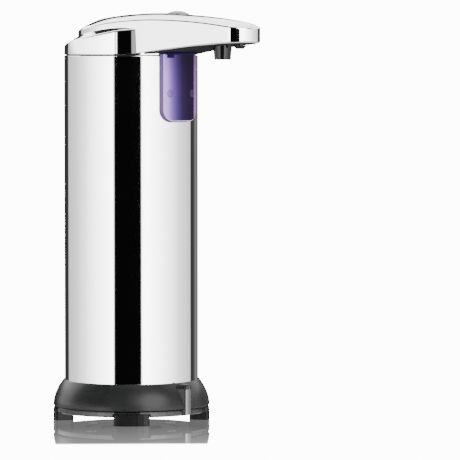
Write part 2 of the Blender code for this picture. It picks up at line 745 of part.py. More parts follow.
def build_base(frame):
    black = FINISHES["black_plastic"]
    steps = 7
    profile = [(BASE_RADIUS - SKIRT_EDGE, SKIRT_BOTTOM)]
    for step in range(steps + 1):
        share = step / steps
        low = SKIRT_EDGE / SKIRT_HEIGHT
        share = low + (1.0 - low) * share
        profile.append((skirt_radius(share), SKIRT_BOTTOM + SKIRT_HEIGHT * share))
    profile += [
        (BODY_RADIUS + FIT_GAP, SKIRT_TOP),
        (BODY_RADIUS + FIT_GAP, LEDGE_TOP),
        (BELL_OUTER + FIT_GAP, LEDGE_TOP),
        (BELL_OUTER + FIT_GAP, SKIRT_BOTTOM),
    ]
    skirt = add_piece("base_skirt", turned(profile, BIG_SIDES), black, frame)

    rib_front = BASE_RADIUS + RIB_STANDOUT
    rib_bottom = SKIRT_BOTTOM - RIB_DROP
    rib_foot = rib_front - RIB_FOOT_DEPTH
    main_rib = rib_solid(LIP_RADIUS - SKIRT_LIP / 2.0, rib_front, SKIRT_BOTTOM, SKIRT_TOP - RIB_BELOW_LIP)
    foot_rib = prism(rib_plan(rib_foot, rib_front, 0.0), rib_bottom, SKIRT_BOTTOM + SKIRT_EDGE)
    join(skirt, add_tool("rib_shape", together([main_rib, foot_rib]), frame)).modifiers[-1].use_self = True

    plate_radius = BASE_RADIUS - PLATE_SETBACK
    groove_radius = plate_radius - GROOVE_DEPTH
    plate = add_piece("base_plate", turned([
        (COVER_RADIUS + RUN_GAP, PLATE_BOTTOM),
        (plate_radius - SKIRT_EDGE, PLATE_BOTTOM),
        (plate_radius, PLATE_BOTTOM + SKIRT_EDGE),
        (plate_radius, PLATE_EDGE_TOP),
        (groove_radius, PLATE_EDGE_TOP),
        (groove_radius, SKIRT_BOTTOM - FIT_GAP),
        (COVER_RADIUS + RUN_GAP, SKIRT_BOTTOM - FIT_GAP),
    ], BIG_SIDES), black, frame)
    recesses = [prism(rib_plan(rib_foot, rib_front, FIT_GAP), rib_bottom - FIT_GAP, SKIRT_BOTTOM)]

    foot_angle = 2.0 * math.asin(FOOT_WIDTH / 2.0 / BASE_RADIUS)
    gap_angle = 2.0 * FIT_GAP / BASE_RADIUS
    foot = prism(sector(BASE_RADIUS - FOOT_DEPTH, BASE_RADIUS, 0.0, foot_angle, 6), 0.0, FOOT_HEIGHT)
    tall = FOOT_HEIGHT / 2.0
    upright = [edge for edge in foot.edges if abs(edge.verts[0].co.z - edge.verts[1].co.z) > tall]
    corners = [edge for edge in upright if edge.calc_face_angle() > math.radians(60)]
    bmesh.ops.bevel(foot, geom=corners, offset=FOOT_ROUNDING, segments=3, profile=0.5, affect="EDGES")
    names = ["foot_front_right", "foot_rear_right", "foot_rear_left", "foot_front_left"]
    first = None
    for index, name in enumerate(names):
        turn = math.pi / 4.0 + index * math.pi / 2.0
        if first is None:
            first = add_piece(name, foot, FINISHES["rubber"], frame, rotation=(0.0, 0.0, turn))
        else:
            add_copy(name, first.data, frame, (0.0, 0.0, 0.0), turn)
        inner = BASE_RADIUS - FOOT_DEPTH - FIT_GAP
        pocket = sector(inner, BASE_RADIUS + OVERRUN, turn, foot_angle + gap_angle, 6)
        recesses.append(prism(pocket, PLATE_BOTTOM - OVERRUN, FOOT_HEIGHT + FIT_GAP))
    cut(plate, add_tool("plate_recesses", together(recesses), frame))

    build_base_screws(frame, skirt, plate)


def rib_half_width(ahead):
    """The rib widens from its front edge towards the skirt."""
    return RIB_WIDTH / 2.0 + (BASE_RADIUS + RIB_STANDOUT - ahead) * RIB_SPLAY_SHARE


def rib_plan(rear, front, gap):
    """Plan of the rib between two distances ahead, drawn outwards by a gap."""
    outline = []
    for ahead in (rear - gap, front + gap):
        half_width = rib_half_width(min(ahead, front)) + 1.5 * gap
        outline.append((-half_width, ahead))
        outline.insert(0, (half_width, ahead))
    return [(aside, -ahead) for aside, ahead in outline]


def rib_solid(rear, front, bottom, top):
    """Upright rib with a round top and splayed sides."""
    steps = 8
    loops = []
    for ahead in (rear, front):
        half_width = rib_half_width(ahead)
        loop = [Vector((-half_width, -ahead, bottom)), Vector((half_width, -ahead, bottom))]
        for step in range(steps + 1):
            angle = math.pi * step / steps
            height = top - RIB_ROUNDING * (1.0 - math.sin(angle))
            loop.append(Vector((half_width * math.cos(angle), -ahead, height)))
        loops.append(loop)
    return loft(loops)


def build_base_screws(frame, skirt, plate):
    head_bottom = PLATE_BOTTOM + SCREW_SINK
    shaft_top = head_bottom + SCREW_LENGTH
    rim = SLOT_WIDTH / 2.0
    screw = add_piece("base_screw_1", turned([
        (0.0, head_bottom),
        (SCREW_HEAD_RADIUS, head_bottom),
        (SCREW_HEAD_RADIUS, head_bottom + rim),
        (SCREW_SHAFT_RADIUS, head_bottom + SCREW_HEAD_HEIGHT),
        (SCREW_SHAFT_RADIUS, shaft_top),
        (0.0, shaft_top + SCREW_SHAFT_RADIUS),
    ], SMALL_SIDES), FINISHES["screw_steel"], frame, location=on_circle(SCREW_RING, 0.0, 0.0))
    reach = SCREW_HEAD_RADIUS * SLOT_SHARE
    for name, size in (("slot_along", (rim, reach)), ("slot_across", (reach, rim))):
        high = head_bottom + 2.0 * rim
        slot = block((-size[0], size[0]), (-size[1], size[1]), (head_bottom - OVERRUN, high))
        cut(screw, add_tool(name, slot, frame, location=on_circle(SCREW_RING, 0.0, 0.0)))
    mesh = baked_mesh(screw)
    screw.modifiers.clear()
    screw.data = mesh
    gap = FIT_GAP
    holes = []
    for index in range(4):
        turn = index * math.pi / 2.0
        place = on_circle(SCREW_RING, turn, 0.0)
        if index > 0:
            add_copy("base_screw_%d" % (index + 1), mesh, frame, place, turn)
        hole = turned([
            (0.0, PLATE_BOTTOM - OVERRUN),
            (SCREW_HEAD_RADIUS + gap, PLATE_BOTTOM - OVERRUN),
            (SCREW_HEAD_RADIUS + gap, head_bottom + rim + gap),
            (SCREW_SHAFT_RADIUS + gap, head_bottom + SCREW_HEAD_HEIGHT + gap),
            (SCREW_SHAFT_RADIUS + gap, LEDGE_TOP + OVERRUN),
            (0.0, LEDGE_TOP + OVERRUN),
        ], SMALL_SIDES)
        holes.append(moved(hole, place))
    tool = add_tool("screw_holes", together(holes), frame)
    cut(plate, tool)
    cut(skirt, tool)


def build_battery_bay(frame):
    white = FINISHES["inner_plastic"]
    bay_outer = BAY_RADIUS + BAY_WALL
    flange_bottom = BODY_BOTTOM
    flange_top = flange_bottom + FLANGE_THICKNESS
    housing = add_piece("battery_housing", turned([
        (BELL_OUTER, BELL_BOTTOM),
        (BELL_OUTER, flange_bottom),
        (INNER_RADIUS, flange_bottom),
        (INNER_RADIUS, flange_top),
        (bay_outer, flange_top),
        (bay_outer, BAY_CEILING),
        (INNER_RADIUS, BAY_CEILING),
        (INNER_RADIUS, BAY_TOP),
        (0.0, BAY_TOP),
        (0.0, BAY_CEILING),
        (BAY_RADIUS, BAY_CEILING),
        (BAY_RADIUS, BELL_TOP),
        (BELL_RADIUS, BELL_TOP),
        (BELL_RADIUS, BELL_BOTTOM),
    ], MIDDLE_SIDES), white, frame)
    boss_radius = SCREW_SHAFT_RADIUS + FIT_GAP + BOSS_WALL
    boss_base = flange_bottom + FLANGE_THICKNESS / 2.0
    bore_top = flange_bottom + BOSS_HEIGHT - BOSS_WALL / 2.0
    additions = []
    bores = [rod(LEAD_GROOVE_RADIUS, BAY_CEILING - OVERRUN, BAY_TOP + OVERRUN, TINY_SIDES, ahead=BODY_BORE)]
    for index in range(4):
        turn = index * math.pi / 2.0
        rib = block(
            (-BAY_RIB / 2.0, BAY_RIB / 2.0),
            (bay_outer - BAY_WALL / 2.0, INNER_RADIUS - BAY_WALL),
            (flange_top - FLANGE_THICKNESS / 2.0, BAY_CEILING + BAY_WALL / 2.0),
        )
        additions.append(turned_about_axis(rib, cell_turn(index)))
        place = on_circle(SCREW_RING, turn, 0.0)
        additions.append(moved(rod(boss_radius, boss_base, flange_bottom + BOSS_HEIGHT, SMALL_SIDES), place))
        bore = rod(SCREW_SHAFT_RADIUS + FIT_GAP, flange_bottom - OVERRUN, bore_top, TINY_SIDES)
        bores.append(moved(bore, place))
        additions.append(prism(
            sector(BAY_RADIUS, (BELL_RADIUS + BELL_OUTER) / 2.0, turn, LIP_WIDTH, 4),
            BELL_BOTTOM, BELL_BOTTOM + LIP_THICKNESS,
        ))
    join(housing, add_tool("bay_additions", together(additions), frame))
    cut(housing, add_tool("bay_bores", together(bores), frame))

    build_battery_cover(frame)
    build_cartridge(frame)


def build_battery_cover(frame):
    groove_in = SEAL_RING_RADIUS - SEAL_GROOVE_HALF
    groove_out = SEAL_RING_RADIUS + SEAL_GROOVE_HALF
    groove_floor = COVER_TOP - SEAL_GROOVE_DEPTH
    hub_inner = HOLDER_RADIUS - HUB_WALL
    cover = add_piece("battery_cover", turned([
        (0.0, COVER_BOTTOM),
        (COVER_RADIUS - COVER_EDGE, COVER_BOTTOM),
        (COVER_RADIUS, COVER_BOTTOM + COVER_EDGE),
        (COVER_RADIUS, COVER_TOP),
        (groove_out, COVER_TOP),
        (groove_out, groove_floor),
        (groove_in, groove_floor),
        (groove_in, COVER_TOP),
        (HOLDER_RADIUS, COVER_TOP),
        (HOLDER_RADIUS, LUG_TOP),
        (hub_inner, LUG_TOP),
        (hub_inner, COVER_TOP),
        (0.0, COVER_TOP),
    ], MIDDLE_SIDES), FINISHES["black_plastic"], frame)
    lugs = []
    for index in range(LUG_COUNT):
        turn = index * FULL_TURN / LUG_COUNT
        lugs.append(prism(
            sector(HOLDER_RADIUS - HUB_WALL / 2.0, LUG_RADIUS, turn, LUG_WIDTH, 4), LUG_BOTTOM, LUG_TOP,
        ))
    join(cover, add_tool("bayonet_lugs", together(lugs), frame))
    start = math.asin(GRIP_BAR / 2.0 / GRIP_RADIUS)
    steps = 12
    recesses = []
    for side in (1.0, -1.0):
        outline = []
        for step in range(steps + 1):
            angle = start + (math.pi - 2.0 * start) * step / steps
            outline.append((GRIP_RADIUS * math.cos(angle), side * GRIP_RADIUS * math.sin(angle)))
        recesses.append(prism(outline, COVER_BOTTOM - OVERRUN, COVER_BOTTOM + GRIP_DEPTH))
    recesses.append(block(
        (-COIN_SLOT_LENGTH / 2.0, COIN_SLOT_LENGTH / 2.0), (-COIN_SLOT_WIDTH / 2.0, COIN_SLOT_WIDTH / 2.0),
        (COVER_BOTTOM - OVERRUN, COVER_BOTTOM + GRIP_DEPTH),
    ))
    cut(cover, add_tool("grip_recesses", together(recesses), frame))

    seal_centre = BELL_BOTTOM - FIT_GAP - SEAL_SECTION / 2.0
    add_piece("cover_seal", torus(SEAL_RING_RADIUS, SEAL_SECTION / 2.0, seal_centre, MIDDLE_SIDES),
              FINISHES["rubber"], frame)


def torus(radius, section, height, sides):
    round_sides = 6
    profile = []
    for step in range(round_sides):
        angle = FULL_TURN * step / round_sides
        profile.append((radius + section * math.cos(angle), height + section * math.sin(angle)))
    return turned(profile, sides)


def cell_turn(index):
    return math.pi / 4.0 + index * math.pi / 2.0


def build_cartridge(frame):
    plastic = FINISHES["black_plastic"]
    holder = add_piece("battery_holder", turned([
        (0.0, HOLDER_BOTTOM),
        (HOLDER_RADIUS, HOLDER_BOTTOM),
        (HOLDER_RADIUS, CELL_SPACE_BOTTOM),
        (HOLDER_POST_RADIUS, CELL_SPACE_BOTTOM),
        (HOLDER_POST_RADIUS, CELL_SPACE_TOP),
        (HOLDER_RADIUS, CELL_SPACE_TOP),
        (HOLDER_RADIUS, HOLDER_TOP),
        (0.0, HOLDER_TOP),
    ], MIDDLE_SIDES), plastic, frame)
    webs = []
    for index in range(4):
        web = block(
            (-HOLDER_WEB / 2.0, HOLDER_WEB / 2.0),
            (HOLDER_POST_RADIUS / 2.0, HOLDER_RADIUS - HOLDER_RIM),
            (CELL_SPACE_BOTTOM + HOLDER_WEB_STOP, CELL_SPACE_TOP - HOLDER_WEB_STOP),
        )
        webs.append(turned_about_axis(web, index * math.pi / 2.0))
    join(holder, add_tool("holder_webs", together(webs), frame)).modifiers[-1].use_self = True

    nub_start = CELL_LENGTH - CELL_NUB_HEIGHT
    profile = [
        (0.0, 0.0), (CELL_RADIUS, 0.0), (CELL_RADIUS, nub_start), (CELL_NUB_RADIUS, nub_start),
        (CELL_NUB_RADIUS, CELL_LENGTH), (0.0, CELL_LENGTH),
    ]
    foot = CELL_SPACE_BOTTOM + FIT_GAP + CONTACT_THICKNESS + SPRING_LENGTH + FIT_GAP
    head = CELL_SPACE_TOP - FIT_GAP - CONTACT_THICKNESS - SPRING_LENGTH - FIT_GAP
    first = None
    for index in range(4):
        points_up = index % 2 == 0
        place = on_circle(CELL_RING, cell_turn(index), foot if points_up else head)
        name = "battery_cell_%d" % (index + 1)
        if first is None:
            shape = turned(profile, SMALL_SIDES)
            first = add_piece(name, shape, FINISHES["cell_wrap"], frame, location=place)
            mesh = first.data
        else:
            piece = add_copy(name, mesh, frame, place, 0.0)
            piece.rotation_euler = (0.0 if points_up else math.pi, 0.0, 0.0)

    bottom_plate = CELL_SPACE_BOTTOM + FIT_GAP
    top_plate = CELL_SPACE_TOP - FIT_GAP - CONTACT_THICKNESS
    contacts = [
        ("contact_top_a", (0, 1), 1, True), ("contact_top_b", (2, 3), 3, True),
        ("contact_bottom_bridge", (1, 2), 2, False),
        ("contact_negative", (0, 0), 0, False), ("contact_positive", (3, 3), None, False),
    ]
    for name, cells, sprung, on_top in contacts:
        add_contact(frame, name, cells, sprung, top_plate if on_top else bottom_plate, on_top)


def add_contact(frame, name, cells, sprung, bottom, on_top):
    """Flat contact under one or two cells, with a cone spring at the negative end."""
    half = CONTACT_WIDTH / 2.0
    width = cell_turn(cells[1]) - cell_turn(cells[0]) + CONTACT_WIDTH / CELL_RING * 2.0
    middle = (cell_turn(cells[0]) + cell_turn(cells[1])) / 2.0
    outline = sector(CELL_RING - half, CELL_RING + half, middle, width, 10)
    plate = prism(outline, bottom, bottom + CONTACT_THICKNESS)
    contact = add_piece(name, plate, FINISHES["contact_metal"], frame)
    if sprung is None:
        return
    wire = SPRING_WIRE / 2.0
    direction = -1.0 if on_top else 1.0
    start = bottom + CONTACT_THICKNESS / 2.0
    length = SPRING_LENGTH + CONTACT_THICKNESS / 2.0 - wire
    centre = on_circle(CELL_RING, cell_turn(sprung), 0.0)
    points = []
    steps = 18
    for step in range(steps + 1):
        share = step / steps
        radius = SPRING_FOOT_RADIUS + (SPRING_TOP_RADIUS - SPRING_FOOT_RADIUS) * share
        angle = FULL_TURN * SPRING_TURNS * share
        height = start + direction * length * share
        across = Vector((math.cos(angle), math.sin(angle), 0.0)) * radius
        points.append(Vector((centre.x, centre.y, height)) + across)
    join(contact, add_tool(name + "_spring", solid_path(points, wire, 4), frame))


def build_body(frame):
    shape = ring(BODY_BORE, BODY_RADIUS, BODY_BOTTOM, SEAM_HEIGHT, BIG_SIDES)
    tube = add_piece("body_tube", shape, FINISHES["steel"], frame)
    gap = FIT_GAP
    notch = window_shape(
        WINDOW_HALF_WIDTH + gap, WINDOW_BOTTOM - gap, SEAM_HEIGHT + OVERRUN, WINDOW_CORNER + gap,
        WINDOW_TOP_CORNER, [(0.0, BODY_RADIUS / 2.0), (0.0, BODY_RADIUS + OVERRUN)],
    )
    cut(tube, add_tool("window_notch", notch, frame))


def rounded_fall(place, half_width, corner):
    """How far a rounded corner has drawn an edge back at a place aside."""
    reach = abs(place) - (half_width - corner)
    return corner - math.sqrt(max(corner ** 2 - max(reach, 0.0) ** 2, 0.0))


def window_outline(half_width, bottom, top, corner, top_corner):
    """Upright outline with large lower and small upper corners, as (aside, height) points.

    The upper edge comes back over the same places aside as the lower edge.
    """
    steps = 5
    places = [(half_width - corner) * share for share in (0.35, 0.7)]
    for step in range(steps + 1):
        places.append(half_width - corner + corner * math.sin(math.pi / 2.0 * step / steps))
    places = [-place for place in reversed(places)] + [0.0] + places
    lower = [(place, bottom + rounded_fall(place, half_width, corner)) for place in places]
    upper = [(place, top - rounded_fall(place, half_width, top_corner)) for place in places]
    return lower + upper[::-1]


def window_shape(half_width, bottom, top, corner, top_corner, layers):
    """Solid through window outlines, each with its inset and its distance ahead.

    A distance given as a function of the place aside makes a curved layer.
    """
    loops = []
    for inset, ahead in layers:
        outline = window_outline(
            half_width - inset, bottom + inset, top - inset,
            max(corner - inset, WINDOW_TOP_CORNER / 4.0), max(top_corner - inset, WINDOW_TOP_CORNER / 4.0),
        )
        loop = []
        for aside, height in outline:
            depth = ahead(aside) if callable(ahead) else ahead
            loop.append(Vector((aside, -depth, height)))
        loops.append(loop)
    shape = bmesh.new()
    rows = [[shape.verts.new(point) for point in loop] for loop in loops]
    count = len(rows[0])
    for near, far in zip(rows, rows[1:]):
        for index in range(count):
            after = (index + 1) % count
            shape.faces.new((near[index], near[after], far[after], far[index]))
    for row in (rows[0], rows[-1]):
        for index in range(count // 2 - 1):
            shape.faces.new((row[index], row[index + 1], row[count - 2 - index], row[count - 1 - index]))
    return shape


def curved_face(radius):
    return lambda aside: math.sqrt(radius ** 2 - aside ** 2)


def build_window(frame):
    bevel = WINDOW_BEVEL
    edge = curved_face(FACE_RADIUS - bevel)
    face = curved_face(FACE_RADIUS)
    window = add_piece("sensor_window", window_shape(
        WINDOW_HALF_WIDTH, WINDOW_BOTTOM, WINDOW_TOP, WINDOW_CORNER, WINDOW_TOP_CORNER,
        [(0.0, WINDOW_REAR), (0.0, edge), (bevel, face)],
    ), FINISHES["window_plastic"], frame)
    flange = block(
        (-FLANGE_HALF_WIDTH, FLANGE_HALF_WIDTH),
        (FLANGE_FRONT - WINDOW_FLANGE_THICKNESS, FLANGE_FRONT),
        (WINDOW_BOTTOM - WINDOW_FLANGE / 2.0, DECK_TOP),
    )
    join(window, add_tool("window_flange", flange, frame))
    inner = curved_face(FACE_RADIUS - WINDOW_FRONT_WALL)
    wall = WINDOW_WALL
    hollow = window_shape(
        WINDOW_HALF_WIDTH - wall, WINDOW_BOTTOM + wall, WINDOW_TOP - wall, WINDOW_CORNER - wall,
        WINDOW_TOP_CORNER, [(0.0, WINDOW_REAR - OVERRUN), (0.0, inner)],
    )
    low, high = DECK_TOP - OVERRUN, WINDOW_TOP + OVERRUN
    pump_room = rod(PUMP_RADIUS + RUN_GAP, low, high, MIDDLE_SIDES, ahead=IDLER_AHEAD)
    cut(window, add_tool("window_hollow", together([hollow, pump_room]), frame)).modifiers[-1].use_self = True


def build_sensor(frame):
    holder_half = WINDOW_HALF_WIDTH - WINDOW_WALL - FIT_GAP
    holder_rear = SENSOR_BOARD_FRONT + FIT_GAP + SENSOR_BASE_LENGTH + FIT_GAP
    low = SENSOR_HEIGHT - SENSOR_HOLDER_HEIGHT / 2.0
    high = SENSOR_HEIGHT + SENSOR_HOLDER_HEIGHT / 2.0
    holder = add_piece("sensor_holder", block(
        (-holder_half, holder_half), (holder_rear, holder_rear + SENSOR_HOLDER_DEPTH), (low, high),
    ), FINISHES["black_plastic"], frame)
    base_rear = SENSOR_BOARD_FRONT + FIT_GAP
    for name, aside in (("infrared_emitter", SENSOR_ASIDE), ("infrared_receiver", -SENSOR_ASIDE)):
        dome = SENSOR_RADIUS * 0.55
        shape = turned([
            (0.0, 0.0), (SENSOR_BASE_RADIUS, 0.0), (SENSOR_BASE_RADIUS, SENSOR_BASE_LENGTH),
            (SENSOR_RADIUS, SENSOR_BASE_LENGTH), (SENSOR_RADIUS, SENSOR_LENGTH - dome),
            (SENSOR_RADIUS * 0.8, SENSOR_LENGTH - dome * 0.4), (0.0, SENSOR_LENGTH),
        ], SMALL_SIDES)
        add_piece(name, shape, FINISHES["sensor_resin"], frame,
                  location=(aside, -base_rear, SENSOR_HEIGHT), rotation=(math.pi / 2.0, 0.0, 0.0))
        near, far = holder_rear - OVERRUN, holder_rear + SENSOR_HOLDER_DEPTH + OVERRUN
        bore = forward_rod(SENSOR_RADIUS + FIT_GAP, near, far, SENSOR_HEIGHT, aside, SMALL_SIDES)
        cut(holder, add_tool(name + "_bore", bore, frame))
    board_low = SENSOR_HEIGHT - SENSOR_BOARD_HEIGHT / 2.0
    add_piece("sensor_board", block(
        (-holder_half, holder_half), (SENSOR_BOARD_REAR, SENSOR_BOARD_FRONT),
        (board_low, board_low + SENSOR_BOARD_HEIGHT),
    ), FINISHES["circuit_board"], frame)
    build_lead(frame, board_low)


def build_lead(frame, board_low):
    """Battery lead: out of the bay, up the groove in front of the reservoir, to the sensor board."""
    start = BAY_RADIUS + BAY_WALL + LEAD_RADIUS * 2.0
    groove = BODY_BORE - LEAD_CENTRE_DEPTH
    below = LEAD_GROOVE_RADIUS * 2.0
    finish = SENSOR_BOARD_FRONT + LEAD_RADIUS + FIT_GAP
    bend = (groove - finish) / 2.0
    stops = [
        (start, BAY_CEILING - 4.0 * below), (start, BAY_CEILING - 3.0 * below),
        (groove - below / 2.0, BAY_CEILING - 2.0 * below), (groove, BAY_CEILING - below),
        (groove, BAY_CEILING + 2.0 * below),
        (groove, (BAY_TOP + RECESS_BOTTOM) / 2.0),
        (groove, RECESS_BOTTOM - below), (groove, RECESS_BOTTOM),
        (groove - bend, RECESS_BOTTOM + bend), (finish, RECESS_BOTTOM + 2.0 * bend),
        (finish, board_low + below / 2.0),
    ]
    points = smooth_path([Vector((0.0, -ahead, height)) for ahead, height in stops], 3)
    add_piece("battery_lead", solid_path(points, LEAD_RADIUS, 6), FINISHES["lead_jacket"], frame)


def build_reservoir(frame):
    clear = FINISHES["reservoir_plastic"]
    reservoir = add_piece(
        "reservoir", rod(RESERVOIR_RADIUS, RESERVOIR_BOTTOM, RESERVOIR_TOP, MIDDLE_SIDES), clear, frame,
    )
    wall = RESERVOIR_WALL
    recess = block((-BODY_RADIUS, BODY_RADIUS), (RECESS_AHEAD, BODY_RADIUS + OVERRUN),
                   (RECESS_BOTTOM, RESERVOIR_TOP + OVERRUN))
    cut(reservoir, add_tool("reservoir_recess", recess, frame))
    neck = rod(NECK_RADIUS, RESERVOIR_TOP - wall / 2.0, NECK_TOP, MIDDLE_SIDES, ahead=-NECK_BEHIND)
    join(reservoir, add_tool("reservoir_neck", neck, frame))
    groove = rod(LEAD_GROOVE_RADIUS, RESERVOIR_BOTTOM - OVERRUN, RESERVOIR_TOP, TINY_SIDES, ahead=BODY_BORE)
    cut(reservoir, add_tool("lead_groove", groove, frame))

    inside = rod(RESERVOIR_RADIUS - wall, RESERVOIR_BOTTOM + wall, RESERVOIR_TOP - wall, MIDDLE_SIDES)
    cavity = add_tool("reservoir_inside", inside, frame)
    groove_top = RECESS_BOTTOM - wall / 2.0
    walls = together([
        block((-BODY_RADIUS, BODY_RADIUS), (RECESS_AHEAD - wall, BODY_RADIUS + OVERRUN),
              (RECESS_BOTTOM - wall, RESERVOIR_TOP + OVERRUN)),
        rod(LEAD_GROOVE_RADIUS + wall, RESERVOIR_BOTTOM, groove_top, TINY_SIDES, ahead=BODY_BORE),
    ])
    cut(cavity, add_tool("reservoir_walls", walls, frame)).modifiers[-1].use_self = True
    openings = together([
        rod(NECK_BORE_RADIUS, RESERVOIR_TOP - 2.0 * wall, NECK_TOP + OVERRUN, MIDDLE_SIDES,
            ahead=-NECK_BEHIND),
        rod(TUBE_RADIUS + FIT_GAP, RESERVOIR_TOP - OVERRUN, RESERVOIR_TOP + OVERRUN, TINY_SIDES,
            ahead=-DIP_BEHIND, aside=DIP_ASIDE),
    ])
    join(cavity, add_tool("reservoir_openings", openings, frame))
    cut(reservoir, cavity)

    floor = RESERVOIR_BOTTOM + wall
    strainer_bottom = floor + FIT_GAP
    seat = strainer_bottom + STRAINER_HEIGHT / 2.0
    strainer = turned([
        (STRAINER_RADIUS, strainer_bottom + STRAINER_HEIGHT),
        (STRAINER_RADIUS, strainer_bottom),
        (STRAINER_BORE_RADIUS, strainer_bottom),
        (STRAINER_BORE_RADIUS, seat),
        (TUBE_RADIUS + FIT_GAP, seat),
        (TUBE_RADIUS + FIT_GAP, strainer_bottom + STRAINER_HEIGHT),
    ], SMALL_SIDES)
    strainer = moved(strainer, (DIP_ASIDE, DIP_BEHIND, 0.0))
    cup = add_piece("strainer", strainer, FINISHES["inner_plastic"], frame)
    slit = block((DIP_ASIDE - STRAINER_RADIUS * 2.0, DIP_ASIDE + STRAINER_RADIUS * 2.0),
                 (-DIP_BEHIND - SLOT_WIDTH, -DIP_BEHIND + SLOT_WIDTH),
                 (strainer_bottom - OVERRUN, strainer_bottom + STRAINER_HEIGHT / 4.0))
    cut(cup, add_tool("strainer_slit", slit, frame))

    low = seat + FIT_GAP
    tube_start = PUMP_RADIUS + FIT_GAP
    turn = TUBE_RADIUS * 3.0
    stops = [
        Vector((tube_start, -PORT_AHEAD, PORT_HEIGHT)),
        Vector((PORT_END, -PORT_AHEAD, PORT_HEIGHT)),
        Vector((DIP_ASIDE - TUBE_RADIUS, -PORT_AHEAD + turn / 2.0, PORT_HEIGHT)),
        Vector((DIP_ASIDE + TUBE_RADIUS / 2.0, -PORT_AHEAD + turn * 1.7, PORT_HEIGHT)),
        Vector((DIP_ASIDE, DIP_BEHIND - turn / 3.0, PORT_HEIGHT - TUBE_RADIUS)),
        Vector((DIP_ASIDE, DIP_BEHIND, DECK_TOP - TUBE_RADIUS)),
        Vector((DIP_ASIDE, DIP_BEHIND, DECK_BOTTOM - turn)),
        Vector((DIP_ASIDE, DIP_BEHIND, (low + DECK_BOTTOM) / 2.0)),
        Vector((DIP_ASIDE, DIP_BEHIND, low)),
    ]
    add_piece("dip_tube", hollow_path(smooth_path(stops, 3), TUBE_RADIUS, TUBE_BORE_RADIUS, 8),
              FINISHES["tube_plastic"], frame)


def build_deck(frame):
    deck = add_piece("chassis_deck", rod(INNER_RADIUS, DECK_BOTTOM, DECK_TOP, MIDDLE_SIDES),
                     FINISHES["inner_plastic"], frame)
    low = DECK_BOTTOM - OVERRUN
    high = DECK_TOP + OVERRUN
    slot = TUBE_RADIUS * 1.5
    tube_slot = prism(stadium(TUBE_RADIUS + RUN_GAP, slot, SMALL_SIDES), low, high)
    holes = [
        rod(NECK_RADIUS + FIT_GAP, low, high, MIDDLE_SIDES, ahead=-NECK_BEHIND),
        rod(MOTOR_BOSS_RADIUS + FIT_GAP, low, high, SMALL_SIDES, ahead=MOTOR_AHEAD),
        moved(tube_slot, (DIP_ASIDE, DIP_BEHIND - slot / 2.0, 0.0)),
        block((-FLANGE_HALF_WIDTH - FIT_GAP, FLANGE_HALF_WIDTH + FIT_GAP),
              (FLANGE_FRONT - WINDOW_FLANGE_THICKNESS - FIT_GAP, BODY_RADIUS), (low, high)),
    ]
    cut(deck, add_tool("deck_holes", together(holes), frame))


def flat_round(radius, flat, sides):
    """Outline of a circle with two opposite sides cut flat across Y."""
    outline = []
    limit = math.asin(flat / radius)
    steps = sides // 4
    for side in (0.0, math.pi):
        for step in range(steps + 1):
            angle = side - limit + 2.0 * limit * step / steps
            outline.append((radius * math.cos(angle), radius * math.sin(angle)))
    return outline


def build_motor(frame, shaft):
    centre = (0.0, -MOTOR_AHEAD, 0.0)
    outline = flat_round(MOTOR_RADIUS, MOTOR_FLAT, MIDDLE_SIDES)
    shape = moved(prism(outline, MOTOR_BOTTOM, MOTOR_TOP), centre)
    can = add_piece("motor_can", shape, FINISHES["motor_steel"], frame)
    boss_top = MOTOR_TOP + MOTOR_BOSS_HEIGHT
    boss = rod(MOTOR_BOSS_RADIUS, MOTOR_TOP - MOTOR_WALL / 2.0, boss_top, SMALL_SIDES, ahead=MOTOR_AHEAD)
    join(can, add_tool("motor_boss", boss, frame))
    inner = prism(flat_round(MOTOR_RADIUS - MOTOR_WALL, MOTOR_FLAT - MOTOR_WALL, MIDDLE_SIDES),
                  MOTOR_BOTTOM - OVERRUN, MOTOR_TOP - MOTOR_WALL)
    cut(can, add_tool("motor_inside", inner, frame, location=centre))
    hole = rod(SHAFT_RADIUS + RUN_GAP, ARMATURE_TOP, boss_top + OVERRUN, TINY_SIDES, ahead=MOTOR_AHEAD)
    cut(can, add_tool("motor_bearing_bore", hole, frame))

    cap_bottom = MOTOR_BOTTOM - FIT_GAP - MOTOR_CAP_LIP
    shape = moved(prism(outline, cap_bottom, MOTOR_BOTTOM - FIT_GAP), centre)
    end = add_piece("motor_end_cap", shape, FINISHES["inner_plastic"], frame)
    fit = MOTOR_WALL + FIT_GAP
    plug = prism(flat_round(MOTOR_RADIUS - fit, MOTOR_FLAT - fit, MIDDLE_SIDES),
                 cap_bottom + MOTOR_CAP_LIP / 2.0, cap_bottom + MOTOR_CAP_HEIGHT)
    join(end, add_tool("motor_cap_plug", plug, frame, location=centre))
    bore_bottom = cap_bottom + MOTOR_CAP_LIP / 2.0
    bore = rod(SHAFT_RADIUS + RUN_GAP, bore_bottom, MOTOR_TOP, TINY_SIDES, ahead=MOTOR_AHEAD)
    cut(end, add_tool("motor_cap_bore", bore, frame))

    shaft_bottom = cap_bottom + MOTOR_CAP_LIP / 2.0 + RUN_GAP
    commutator_bottom = ARMATURE_BOTTOM - COMMUTATOR_LENGTH
    add_piece("motor_rotor", turned([
        (0.0, shaft_bottom),
        (SHAFT_RADIUS, shaft_bottom),
        (SHAFT_RADIUS, commutator_bottom),
        (COMMUTATOR_RADIUS, commutator_bottom),
        (COMMUTATOR_RADIUS, ARMATURE_BOTTOM),
        (ARMATURE_RADIUS, ARMATURE_BOTTOM),
        (ARMATURE_RADIUS, ARMATURE_TOP),
        (SHAFT_RADIUS, ARMATURE_TOP),
        (SHAFT_RADIUS, GEAR_TOP),
        (0.0, GEAR_TOP),
    ], SMALL_SIDES), FINISHES["motor_steel"], shaft)


def involute(angle):
    return math.tan(angle) - angle


